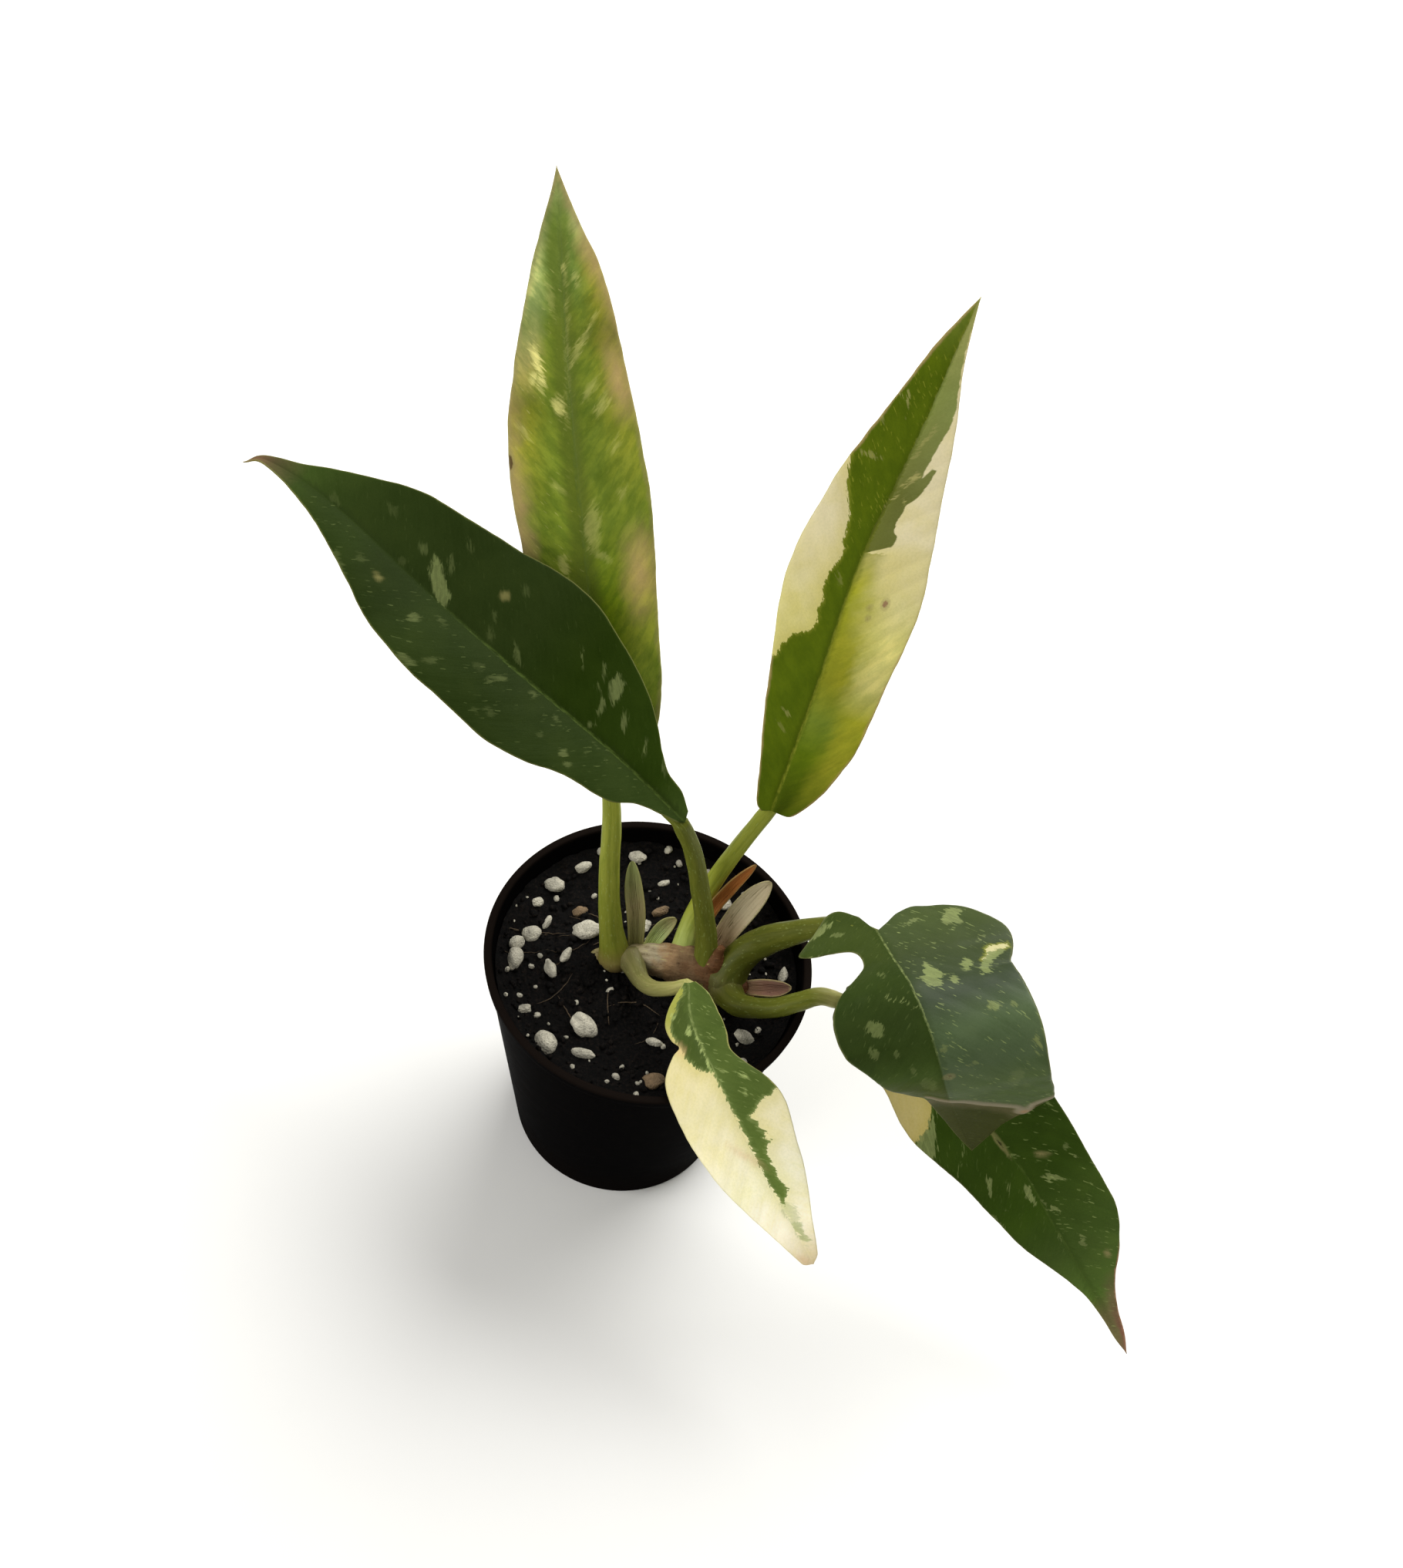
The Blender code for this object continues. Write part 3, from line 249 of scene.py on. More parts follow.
# Markings, in mm on the leaf laid flat: s along the midrib, t across it. An area is its corners
# (s, t). A spot is (s, t, half length, half width, turn in degrees), and its strength where that
# is not 1. The crease is a run of corners, with spots where it is broader.
CREAM_AREAS = {
    "leaf_cream_right": (
        ((31, -9.5), (34, -8.8), (36.2, -7.5), (37, -5.5), (38, -4.2), (40, -3.9), (42, -4.5), (44, -4.3),
         (46, -5), (49, -4.8), (50, -4.2), (52, -3.9), (54, -3.9), (55, -4.6), (57, -5), (59, -5.2),
         (61, -6.2), (63, -7.4), (65, -8.6), (67, -9.2), (69.5, -9.8), (70, -22), (30, -22)),
        ((58, 22), (57, 8), (55, 3), (54.3, 0.3), (102, 0), (106, 22)),
    ),
    "leaf_cream_front": (
        ((2.2, 1.1), (3, 1.8), (5, 2.5), (6.4, 3.8), (8.5, 4.7), (10.6, 4.2), (12.5, 3.8), (14, 3.6),
         (15.5, 3.1), (16.5, 2.4), (17.4, 1.6), (18, 0.2), (30, -0.1), (43, -0.1), (45.5, -0.7), (48, -1.5),
         (62, -2), (62, 20), (-3, 20), (-2, 1.4)),
        ((28.5, -2), (28, -3.2), (27, -5), (26.3, -6.5), (26.5, -7.8), (25.8, -9), (25, -20), (62, -20),
         (62, 1), (50, 1), (47, 0.3), (45.4, -0.9), (44, -1.9), (43.5, -2.6), (41, -2.1), (39, -2.4),
         (37, -2.2), (35, -2.4), (34, -4), (33, -3.2), (32, -3.8), (31, -2.8), (30, -3.2)),
    ),
    "leaf_domed": (
        ((10, -21.8), (9.9, -17.6), (12, -16.8), (14.2, -15), (14.8, -15.7), (12.8, -17.6), (12, -19),
         (11.4, -21.6)),
    ),
    "leaf_drooping": (
        ((14.5, 16), (29, 16), (28.6, 11.6), (29.3, 10.6), (28.6, 9.4), (29.2, 8.6), (27.8, 6.6), (27.2, 5),
         (25.4, 3.2), (20, 3.2), (14.5, 6.8)),
    ),
}

PATCH_AREAS = {
    "leaf_cream_right": (
        ((54.3, 0.3), (55.5, 2), (57, 4), (59, 4.3), (59.5, 3.3), (62, 2.8), (65, 3.2), (67, 4.3), (70, 5),
         (72.5, 5.1), (72.5, 4.4), (70, 3.3), (75, 3.6), (80, 4.1), (84, 3.8), (86, 3), (90, 2), (95, 1),
         (102, 0), (102, -0.3), (54, -0.3)),
    ),
    # On leaf_domed the patch is the tip beyond the fold, painted in shade as a dark brown-green
    "leaf_domed": (
        ((44.8, 2.2), (46.7, -1.7), (50.8, -5.7), (54.6, -10.6), (58.2, -12.2), (55, -14), (54, -26),
         (72, -26), (72, 9), (48, 9)),
    ),
}

BLOTCH_AREAS = {
    "leaf_domed": (
        ((12, -16.8), (15, -14.8), (17.5, -13.2), (19.3, -13.4), (19.3, -14.8), (17, -15.4), (14.5, -17.6),
         (12.5, -19.8), (11, -21.5)),
        ((11.6, -4.9), (12.6, -4.3), (14.2, -3.6), (15.6, -3.1), (16.4, -2.4), (17.2, -3), (18.9, -2.7),
         (19.2, -5.4), (17.6, -5.6), (16.8, -6.6), (14.8, -6.2), (13.4, -5.4)),
        ((-2.6, -14.6), (-0.6, -13.2), (0.8, -12.4), (1.9, -12.6), (1.8, -14), (2.4, -15.6), (0.4, -16.2),
         (-1.2, -17.2), (-2.4, -16.8)),
    ),
    "leaf_drooping": (
        ((28.3, 14), (28.4, 8.2), (26.9, 4.4), (28.6, 5.4), (30.8, 8.2), (33.2, 11), (33.6, 14)),
        ((58, -1), (59.4, -0.6), (59.8, -1.6), (60.9, -2.3), (60.6, -2.8), (59, -2.3), (58.2, -1.7)),
    ),
    "leaf_dark_left": (
        ((58.8, 0.5), (60.4, -0.1), (63, 0.8), (65.4, 2.5), (67.4, 5.8), (66, 6), (63.8, 4.4), (61.6, 3.5),
         (59.8, 2.3)),
        ((24.2, 6.9), (25.4, 7.4), (26.4, 8.4), (27.4, 9.6), (27.6, 11.4), (26.9, 12.2), (26.2, 11.4),
         (25.2, 11.3), (24.6, 9.6)),
    ),
}

CREASES = {
    "leaf_domed": (
        ((43.2, 3.6), (44.3, 2), (46.2, -1.9), (50.3, -6), (54.2, -11.1), (57, -12.8), (54.5, -14),
         (52.6, -18.8)),
    ),
}

CREASE_ENDS = {"leaf_domed": ((56.4, -12.2, 1.1, 0.7, -60),)}

BLOTCHES = {
    "leaf_mottled": (
        (44, 2, 4, 1.5, 10, 0.24), (38.5, 3.2, 1.6, 0.8, -50, 0.2), (66, -2, 1.7, 0.9, -12, 0.6),
        (73.5, -5.3, 3.4, 0.7, -8), (72, -5.9, 1.2, 0.4, 20, 0.8), (77, 2.8, 2.4, 0.35, 30, 0.35),
        (78, 0.4, 5, 0.16, 4, 0.2), (82, 5.5, 1.2, 0.4, 30, 0.25), (89.4, 2.8, 0.9, 0.45, 0, 0.35),
        (91, 0.8, 1, 0.4, 0, 0.4), (50, 8, 1.2, 0.5, 35, 0.2), (58.5, 7.8, 1.2, 0.5, 30, 0.25),
        (52, -4, 1.3, 0.5, -35, 0.2), (86, -2.2, 2, 0.5, -10, 0.2), (37.5, -4.2, 1.8, 0.9, 0, 0.3),
        (69, 4, 1.6, 0.5, 35, 0.25), (62, -8.7, 1.2, 0.4, -30, 0.2), (66, 5.9, 2, 0.9, 32, 0.28),
        (90, -4.9, 2.6, 0.4, 16, 0.3),
    ),
    "leaf_dark_left": (
        (25.9, 5.2, 1.2, 0.45, 75, 0.9), (25.5, 1.2, 0.5, 0.4, 0, 0.8), (29.5, 10.5, 0.9, 0.4, 50, 0.7),
        (28.8, 7.8, 0.6, 0.2, 50, 0.6), (20.8, 5.6, 1.5, 0.5, 55, 0.85), (14.9, 4.3, 1, 0.4, 60, 0.8),
        (10, 4.6, 0.8, 0.3, 45, 0.8), (34.5, 10, 0.9, 0.25, 50, 0.7), (43.8, 2.4, 1.6, 0.55, 38, 0.5),
        (42.6, 1.6, 0.6, 0.3, 40, 0.6), (49.5, 1.6, 0.9, 0.35, 50, 0.3), (63.4, 6.2, 1.5, 0.5, 42, 0.45),
        (63.8, 11.5, 1.3, 0.5, 25, 0.3), (69.6, 5.2, 1, 0.6, 10, 0.4), (78.8, 6.5, 1.2, 0.6, 20, 0.2),
        (51.5, 5.3, 0.8, 0.4, 60, 0.3), (50.3, 12.3, 1, 0.5, 40, 0.25), (19.3, -2.5, 0.35, 0.35, 0, 0.8),
        (23.4, -4.2, 0.3, 0.3, 0, 0.6), (22.3, -1.5, 0.5, 0.2, 0, 0.5), (26.7, -7.6, 0.75, 0.8, 0, 0.8),
        (24.8, -8.7, 0.5, 0.4, -40, 0.7), (31.2, -2.7, 0.4, 0.4, 0, 0.5), (37, -1.8, 0.55, 0.5, 0, 0.5),
        (32, -7.4, 0.6, 0.5, 0, 0.3), (43.6, -4.4, 1.7, 0.6, -62, 0.5), (47.5, -4.8, 0.9, 0.8, 0, 0.2),
        (57.6, -2.9, 0.9, 0.6, 0, 0.3), (61, -6.3, 0.95, 1, 0, 0.7), (53.6, -9.8, 1.1, 0.5, -50, 0.4),
        (57, -13.3, 1.7, 0.8, -5, 0.65), (41, -10.3, 0.8, 0.7, 0, 0.25), (42.8, -11.8, 0.6, 0.5, 0, 0.3),
        (75.6, -4.7, 1, 0.6, 0, 0.25), (70.6, 1, 0.7, 0.5, 0, 0.2), (88, 1, 1.4, 0.7, 20, 0.2),
        (77.5, -8.2, 1.8, 0.4, 20, 0.35),
    ),
    "leaf_cream_front": (
        (9.2, 1.5, 1, 0.6, 40, 0.9), (15, 2.6, 0.3, 0.3, 0, 0.8), (6, 3.2, 0.4, 0.4, 0, 0.8),
        (15.3, 0.4, 2.2, 0.22, 4), (21, -4.4, 0.9, 0.4, -30, 0.9), (24, -3.6, 0.5, 0.3, 0, 0.7),
        (12, -2.4, 0.5, 0.2, -40, 0.6), (18.5, -1.6, 0.7, 0.25, -30, 0.7), (47.4, -0.9, 2.6, 1.1, -2, 0.5),
        (50.5, -0.8, 2.5, 0.75, -4, 0.85),
    ),
    "leaf_cream_right": (
        (68, 1.3, 0.9, 0.4, 30), (69.6, 2, 0.8, 0.45, 30), (65, 0.6, 0.8, 0.25, 20),
        (65.2, 2.5, 0.5, 0.3, 0, 0.9), (82.2, -4.7, 1.5, 0.25, -25, 0.8), (83.8, -6.5, 1.6, 0.25, -20, 0.7),
        (70.8, -6.6, 0.4, 1.1, 0, 0.6), (78, -7.6, 0.8, 0.4, -30, 0.4), (20.2, -3.7, 1.2, 0.5, -60, 0.5),
        (17.5, -4.5, 0.8, 0.3, -60, 0.3), (76.5, 1.2, 1.8, 0.2, 10, 0.5), (48.5, -2.6, 0.9, 0.3, -40, 0.3),
    ),
    "leaf_domed": (
        (18.6, -8, 1, 0.7, 10), (14.5, -12, 2.3, 1.1, 22), (26.2, -12.2, 0.7, 1.3, 15, 0.9),
        (27, -15.8, 0.5, 0.5, 0, 0.7), (34.3, -17.6, 1.3, 0.6, 0, 0.9), (-1, -7, 1.2, 0.3, 60, 0.7),
        (34.8, -5.6, 0.5, 0.8, 0, 0.5), (23.2, 8.9, 1.6, 1.4, 0, 0.5), (27.7, 10.6, 1.2, 0.8, 0, 0.45),
        (29.2, 6.7, 0.9, 0.6, 0, 0.35), (12.6, 3.8, 0.8, 0.6, 0, 0.5), (33.2, 4.7, 0.8, 0.3, 0, 0.35),
        (19.9, 3.2, 1.5, 0.22, -50, 0.9), (19.2, 2.8, 0.9, 0.2, -50, 0.7), (-5.8, 9.2, 2.8, 0.55, 62),
        (-7.4, -8.6, 0.5, 2.4, 20, 0.7), (3, -14, 1, 0.3, 50, 0.5), (30.5, -1.5, 0.5, 0.5, 0, 0.6),
        (8, -17, 0.8, 0.2, 60, 0.7), (1.2, 13.8, 0.4, 1.7, 0, 0.9), (6.6, -8, 0.3, 0.8, 0, 0.6),
        (37.8, 2.8, 1.9, 1.5, 0, 0.22), (40.5, -12.5, 2.6, 1.2, 20, 0.2), (44, -13.8, 1.6, 0.8, 0, 0.16),
        (-3, 7, 0.4, 0.9, 10, 0.6),
    ),
    "leaf_drooping": (
        (47.2, 7.2, 1.6, 0.5, 18, 0.9), (49.8, 4.4, 1, 0.3, 30, 0.8), (54, 1.4, 2.2, 0.8, 3),
        (57.6, -0.3, 0.9, 0.3, 10, 0.6), (65, 0.3, 1, 0.4, 0, 0.5), (68.5, -3.4, 1.1, 0.55, 0, 0.8),
        (54, -4.6, 2, 0.7, -42, 0.9), (42.8, -12.2, 0.8, 0.25, -40, 0.7), (52.6, -10.3, 0.6, 0.4, 0, 0.8),
        (54, 7, 0.6, 0.3, 0, 0.5), (55.5, 9.6, 2.2, 0.4, -8, 0.5), (38.5, 9, 1.3, 0.15, 55, 0.6),
        (45.5, -0.2, 0.7, 0.2, -40, 0.6), (50.5, -9.6, 0.5, 0.4, 0, 0.5),
    ),
}

PATCHES = {
    "leaf_mottled": (
        (35, 9.8, 6, 2.2, 5), (70.5, 9.2, 4.6, 1.5, -8), (91, 6.6, 6.5, 0.8, -18), (50, -10.9, 11, 1.2, 0),
    ),
    "leaf_dark_left": ((52.5, 8.9, 0.9, 0.9, 0), (70.5, -5.3, 0.9, 0.6, 0)),
    "leaf_cream_front": ((34.5, 1.4, 2.4, 0.5, -32), (11.7, 4.2, 1.2, 0.8, 0), (56.2, 1.4, 1, 0.5, -35)),
    "leaf_drooping": ((48.6, -4.8, 1.1, 0.4, -50), (73.3, -6.5, 0.9, 0.6, 0)),
}

SCARS = {
    "leaf_mottled": ((57, -11.9, 1.6, 0.7, 0),),
    "leaf_cream_right": (
        (46.2, 6.9, 0.9, 0.55, 0), (42.5, 4.8, 0.4, 0.3, 0, 0.5), (44.5, 4.5, 0.4, 0.3, 20, 0.4),
    ),
    "leaf_domed": ((36.2, -1, 0.5, 0.7, 0, 0.4),),
    "leaf_drooping": ((41.8, 0.3, 1.7, 0.3, 4),),
}

# Colours of each blade. A side's ramp is runs of (colour, (share of the length, gain), ...) for the
# half by the midrib; an outer ramp is for the margin half where it differs. centre and margin are
# (colour, gain, width in mm, strength) of bands along the midrib and the edge, and margin_run is
# where the margin fades in. rib is (colour, gain, width, start, stop, strength). blotch and patch
# are (colour, gain, strength), patch_edge (colour, gain) near a patch's border, fringe (colour,
# strength) round the cream, and flecks (colour, strength, threshold), with fleck_run where they
# fade in. mottle is how strong its dark and light parts are, patchwork how strong the clouds are
# and streak how strong the streaks along the side veins are. A cream_run or patch_run has gains
# from base to tip. wash is where the cream fades in along the + half. scar is (colour, gain). A
# blur is how soft borders are in mm, specular how strong reflections are, and film the weight of
# a dull coat.
# The side and outer ramps hold painted light and shade besides the blades' own colours: their gains lift
# stretches that lie in shade and lower stretches that catch a sheen or hang beyond a fold.
BLADE_FINISHES = {
    "leaf_mottled": dict(
        # Painted light: the + half is lifted at shares 0.14 to 0.27, where leaf_dark_left shades it
        side_plus=(("moss", (0, 0.6), (0.14, 0.85), (0.27, 1.45)), ("olive", (0.4, 1.1), (0.6, 0.86),
                    (0.66, 0.95), (0.705, 0.68), (0.75, 0.92)), ("sage", (0.82, 1.6), (0.87, 1.5),
                    (0.91, 1.95)), ("pale", (0.955, 0.74)), ("tan", (1, 0.85))),
        outer_plus=(("moss", (0, 0.5)), ("olive", (0.14, 1.3)), ("lime", (0.3, 0.98)),
                    ("olive", (0.4, 1.15)), ("lime", (0.62, 0.74), (0.67, 0.76), (0.705, 0.5), (0.76, 0.66),
                     (0.83, 0.85)), ("pale", (0.9, 0.75)), ("tan", (1, 0.85))),
        side_minus=(("moss", (0, 0.4), (0.3, 0.6)), ("olive", (0.4, 1.3), (0.48, 1.25), (0.58, 0.95),
                     (0.72, 1.05)), ("sage", (0.8, 1.85), (0.9, 1.95)), ("pale", (0.955, 0.74)),
                    ("tan", (1, 0.85))),
        outer_minus=(("moss", (0, 0.4), (0.3, 0.55)), ("olive", (0.42, 1.08)), ("lime", (0.54, 0.86),
                      (0.6, 0.66)), ("butter", (0.68, 0.5)), ("pale", (0.76, 0.7), (0.815, 1), (0.86, 0.66),
                      (0.92, 0.6)), ("tan", (1, 0.85))), centre=("olive", 0.62, 3.4, 0.72),
        rib=("sage", 1, 0.45, 0.2, 0.95, 0.45), patchwork=0.6, streak=0.65, margin=("tan", 0.85, 1.1, 0.45),
        blotch=("butter", 1.35, 0.85), patch=("pink", 1.25, 0.62), flecks=("butter", 0.22, 0.985),
        mottle=(0.65, 0.5), patch_blur=2.4, blotch_blur=0.55, specular=0.06),
    "leaf_dark_left": dict(
        # Painted light and shade: the + half is lifted towards its tip, where it folds away from the light,
        # and the - half is kept dark against its sheen
        side_plus=(("green", (0, 0.95)), ("deep", (0.08, 1), (0.3, 0.75)), ("green", (0.42, 0.38),
                    (0.6, 0.35), (0.72, 0.42), (0.78, 0.47), (0.83, 0.6), (0.88, 0.88)),
                   ("tan", (0.94, 0.27)), ("rose", (1, 1))),
        side_minus=(("green", (0, 0.65), (0.2, 0.5), (0.37, 0.38), (0.55, 0.45), (0.61, 0.36), (0.68, 0.35),
                     (0.73, 0.46), (0.83, 0.48), (0.88, 0.62)), ("tan", (0.94, 0.3)), ("rose", (1, 1))),
        centre=("green", 0.42, 1.4, 0.4), rib=("sage", 0.85, 0.4, 0, 0.5, 0.7),
        margin=("sage", 0.75, 0.5, 0.3), blotch=("pale", 0.42, 0.8), patch=("butter", 0.28, 0.75),
        flecks=("pale", 0.14, 0.985), mottle=(0.35, 0.25), patch_blur=0.6, blotch_blur=0.35,
        specular=0.012),
    "leaf_cream_right": dict(
        side_plus=(("moss", (0, 0.45), (0.05, 0.68), (0.13, 1.25)), ("olive", (0.2, 1.15)),
                   ("citron", (0.28, 0.8), (0.38, 1), (0.46, 1.2)), ("butter", (0.54, 0.66), (1, 0.7))),
        outer_plus=(("moss", (0, 0.8)), ("citron", (0.12, 0.82), (0.22, 1.06)), ("butter", (0.29, 0.95),
                     (0.38, 1.25)), ("cream", (0.5, 0.8), (1, 0.8))),
        side_minus=(("moss", (0, 1.05), (0.3, 1.12), (0.5, 1.05), (0.7, 1), (0.88, 1.08)),
                    ("olive", (0.95, 0.95), (1, 1.3))), centre=("moss", 0.8, 1.2, 0.45),
        rib=("lime", 0.9, 0.4, 0, 0.55, 0.65), margin=("pink", 1.2, 0.6, 0.5), blotch=("butter", 0.7, 0.8),
        patch=("grey_green", 1, 0.94),
        patch_run=((0.55, (0.6, 0.65, 0.34)), (0.66, (0.65, 0.7, 0.42)), (0.7, (0.83, 0.87, 0.78)),
                   (0.85, (1.14, 1.26, 1.35)), (0.95, (1.7, 1.6, 2.2))),
        cream_run=((0, (1, 1, 0.62)), (0.38, (1.01, 0.98, 0.62)), (0.5, (1.04, 0.99, 0.86)),
                   (0.6, (1, 0.95, 0.92)), (1, (1, 0.93, 0.88))), streak=0.4, scar=("rose", 1.15),
        flecks=("lime", 0.62, 0.958), fleck_run=(0.4, 0.62), patchwork=0.28, cream_gain=0.9,
        fringe=("lime", 0.45), mottle=(0.3, 0.22), patch_blur=0.12, blotch_blur=0.2, wash=(0.3, 0.56),
        specular=0.03),
    "leaf_cream_front": dict(
        side_plus=(("sage", (0, 0.62), (0.3, 0.7), (1, 0.95)),),
        side_minus=(("sage", (0, 0.88), (0.25, 0.84), (0.45, 0.95), (0.6, 1.3), (0.85, 1.7)),
                    ("lime", (1, 1))), centre=("sage", 1.05, 1.3, 0.45),
        rib=("pale", 0.8, 0.3, 0, 0.42, 0.6), margin=("butter", 0.9, 0.3, 0.5), blotch=("pale", 1.2, 0.8),
        patch=("pink", 1.55, 0.5),
        cream_run=((0, (0.4, 0.45, 0.16)), (0.11, (0.42, 0.46, 0.18)), (0.18, (0.74, 0.7, 0.56)),
                   (0.3, (0.78, 0.74, 0.64)), (0.42, (0.84, 0.82, 0.8)), (0.55, (1, 0.98, 1)),
                   (0.7, (1.12, 1.14, 1.32)), (0.86, (1.17, 1.16, 1.36)), (0.92, (1.02, 0.98, 1.1)),
                   (0.96, (0.9, 0.83, 0.9)), (1, (0.78, 0.68, 0.7))), flecks=("pale", 0.5, 0.97),
        cream_gain=1.05, fringe=("pale", 0.3), mottle=(0.35, 0.15), patch_blur=0.9, blotch_blur=0.25,
        specular=0.05, film=0.03),
    "leaf_domed": dict(
        # Painted shade: the + half darkens from share 0.6, where the blade bends down beyond the fold
        side_plus=(("sage", (0, 0.44), (0.1, 0.4)), ("green", (0.2, 0.55), (0.34, 0.44), (0.44, 0.62),
                    (0.52, 0.95)), ("olive", (0.6, 0.37)), ("sage", (1, 0.6))),
        # Painted sheen: the bluish slate stretch of the - half stands in for a reflection of the light
        side_minus=(("sage", (0, 0.46), (0.12, 0.36)), ("slate", (0.32, 0.34), (0.42, 0.74), (0.52, 0.74)),
                    ("green", (0.6, 1.2), (0.75, 1.2)), ("sage", (1, 0.6))), centre=("deep", 0.9, 1.2, 0.3),
        rib=("pale", 0.6, 0.22, 0, 0.45, 0.75), margin=("pale", 0.4, 0.5, 0.35),
        # Painted shade: the patch is the dark brown-green of the tip beyond the fold, with a tan edge
        blotch=("pale", 0.54, 0.92), patch=("umber", 0.72, 0.92), patch_edge=("tan", 0.34),
        flecks=("pale", 0.4, 0.972), cream_gain=0.6, fringe=("lime", 0.5), mottle=(0.35, 0.2),
        patch_blur=0.3, blotch_blur=0.16, specular=0.02, film=0.26),
    "leaf_drooping": dict(
        side_plus=(("green", (0, 0.35)), ("deep", (0.12, 1.6), (0.3, 1.1), (0.46, 1.05), (0.62, 1.5)),
                   ("green", (0.72, 0.85), (0.8, 1.35), (0.85, 1.7)), ("tan", (0.9, 0.5), (0.96, 0.6)),
                   ("rose", (1, 0.9))),
        side_minus=(("green", (0, 0.3)), ("deep", (0.3, 1.1), (0.55, 1.2)), ("green", (0.75, 1),
                     (0.81, 1.35), (0.85, 1.6)), ("tan", (0.9, 0.5), (0.95, 0.56)), ("rose", (1, 1))),
        outer_minus=(("green", (0, 0.3)), ("deep", (0.3, 1.1), (0.55, 1.2)), ("green", (0.75, 1.15),
                      (0.81, 1.4)), ("tan", (0.87, 0.45)), ("rose", (0.94, 0.8), (1, 1))),
        centre=("deep", 1.15, 1.2, 0.3), rib=("sage", 0.8, 0.35, 0.4, 0.8, 0.4),
        margin=("rose", 1.45, 0.6, 0.85), margin_run=(0.76, 0.81), blotch=("pale", 0.5, 0.9),
        patch=("tan", 0.8, 0.75), cream_run=((0, (1, 0.88, 0.55)), (1, (1, 0.88, 0.55))),
        flecks=("pale", 0.34, 0.972), cream_gain=0.52, fringe=("sage", 0.5), scar=("umber", 0.05),
        mottle=(0.3, 0.25), patch_blur=0.5, blotch_blur=0.12, specular=0.03, film=0.02),
}

# What a blade's finish has where its own says nothing
USUAL_FINISH = dict(streak=1.0, cream_gain=1.0, film=0.0, wash=(2.0, 3.0), fringe=("lime", 0.0),
                    scar=("brown", 0.45))

# Colours of each stalk from its foot to the blade, then along the rib. They hold painted light and
# shade as well: leaf_drooping's stalk is darkened at its foot, where it lies in shade, and
# leaf_cream_right's stalk is lifted where blades shade it.
STALK_FINISHES = {
    "leaf_mottled": (("brown", (0, 1.1)), ("stalk", (0.05, 1.35), (0.2, 1.7), (0.35, 1.5), (0.5, 1.3))),
    "leaf_dark_left": (("stalk", (0, 0.9), (0.1, 0.82), (0.28, 0.85)), ("moss", (0.5, 0.8))),
    "leaf_cream_right": (("pale", (0, 1.2)), ("stalk", (0.1, 2.4), (0.25, 2), (0.45, 1.5))),
    "leaf_cream_front": (("butter", (0, 0.17), (0.12, 0.23), (0.28, 0.6)), ("pale", (0.5, 0.9))),
    "leaf_domed": (("stalk", (0, 0.5), (0.15, 0.6), (0.3, 0.75)), ("sage", (0.6, 0.6))),
    "leaf_drooping": (("citron", (0, 0.18)), ("stalk", (0.1, 0.8), (0.2, 1)), ("butter", (0.232, 0.5)),
                      ("stalk", (0.262, 0.8)), ("sage", (0.5, 0.8))),
}

# Colours of each sheath from its foot to its tip, and of the crown from its older end
SHEATH_FINISHES = {
    "sheath_pale_upright": (("olive", (0, 0.6)), ("tan", (0.5, 0.95)), ("pale", (1, 1.1))),
    "sheath_pale_leaning": (("olive", (0, 1.2)), ("pale", (0.5, 0.85)), ("tan", (1, 1.1))),
    "sheath_dried": (("rust", (0, 2.2), (0.5, 2.4), (1, 2.4)),),
    "sheath_pink_upright": (("pink", (0, 1.4)), ("beige", (0.5, 1.9), (1, 1.7))),
    "sheath_pink_lying": (("pink", (0, 0.7)), ("rose", (0.5, 0.85), (1, 0.6))),
}

CROWN_FINISH = (("tan", (0, 0.74)), ("beige", (0.35, 0.98)), ("pink", (0.55, 0.74), (0.8, 0.44)),
                ("brown", (1, 0.95)))


def linear(*srgb):
    """Linear colour of an sRGB one with channels of 0 to 255: ((c / 255 + 0.055) / 1.055) ^ 2.4."""
    return tuple(((c / 255 + 0.055) / 1.055) ** 2.4 for c in srgb)


def unit(rows):
    """Rows scaled to length 1."""
    return rows / np.maximum(np.linalg.norm(rows, axis=-1, keepdims=True), 1e-12)


def smooth_step(low, high, x):
    """3 f^2 - 2 f^3, where f is how far x is from low to high."""
    f = np.clip((x - low) / (high - low), 0.0, 1.0)
    return f * f * (3 - 2 * f)


def stack(*columns):
    """Numbers side by side in a last axis."""
    return np.stack(columns, -1)


def read_rows(at, steps, table):
    """Rows of a table, given at the steps, read between them."""
    return stack(*(np.interp(at, steps, column) for column in table.T))


def smooth_rows(rows, count):
    """Even steps along a Catmull-Rom curve through the rows, spaced by length along it."""
    rows = np.array(rows, float)
    rows = np.vstack([2 * rows[0] - rows[1], rows, 2 * rows[-1] - rows[-2]])
    t = np.linspace(0.0, 1.0, CURVE_STEPS, endpoint=False)[:, None]
    pieces = []
    for a, b, c, d in zip(rows, rows[1:], rows[2:], rows[3:]):
        pieces.append(0.5 * (2 * b + (c - a) * t + (2 * a - 5 * b + 4 * c - d) * t ** 2
                             + (3 * b - a - 3 * c + d) * t ** 3))
    fine = np.vstack(pieces + [rows[-2][None]])
    length = np.append(0.0, np.cumsum(np.linalg.norm(np.diff(fine, axis=0), axis=1)))
    return read_rows(np.linspace(0.0, length[-1], count), length, fine)


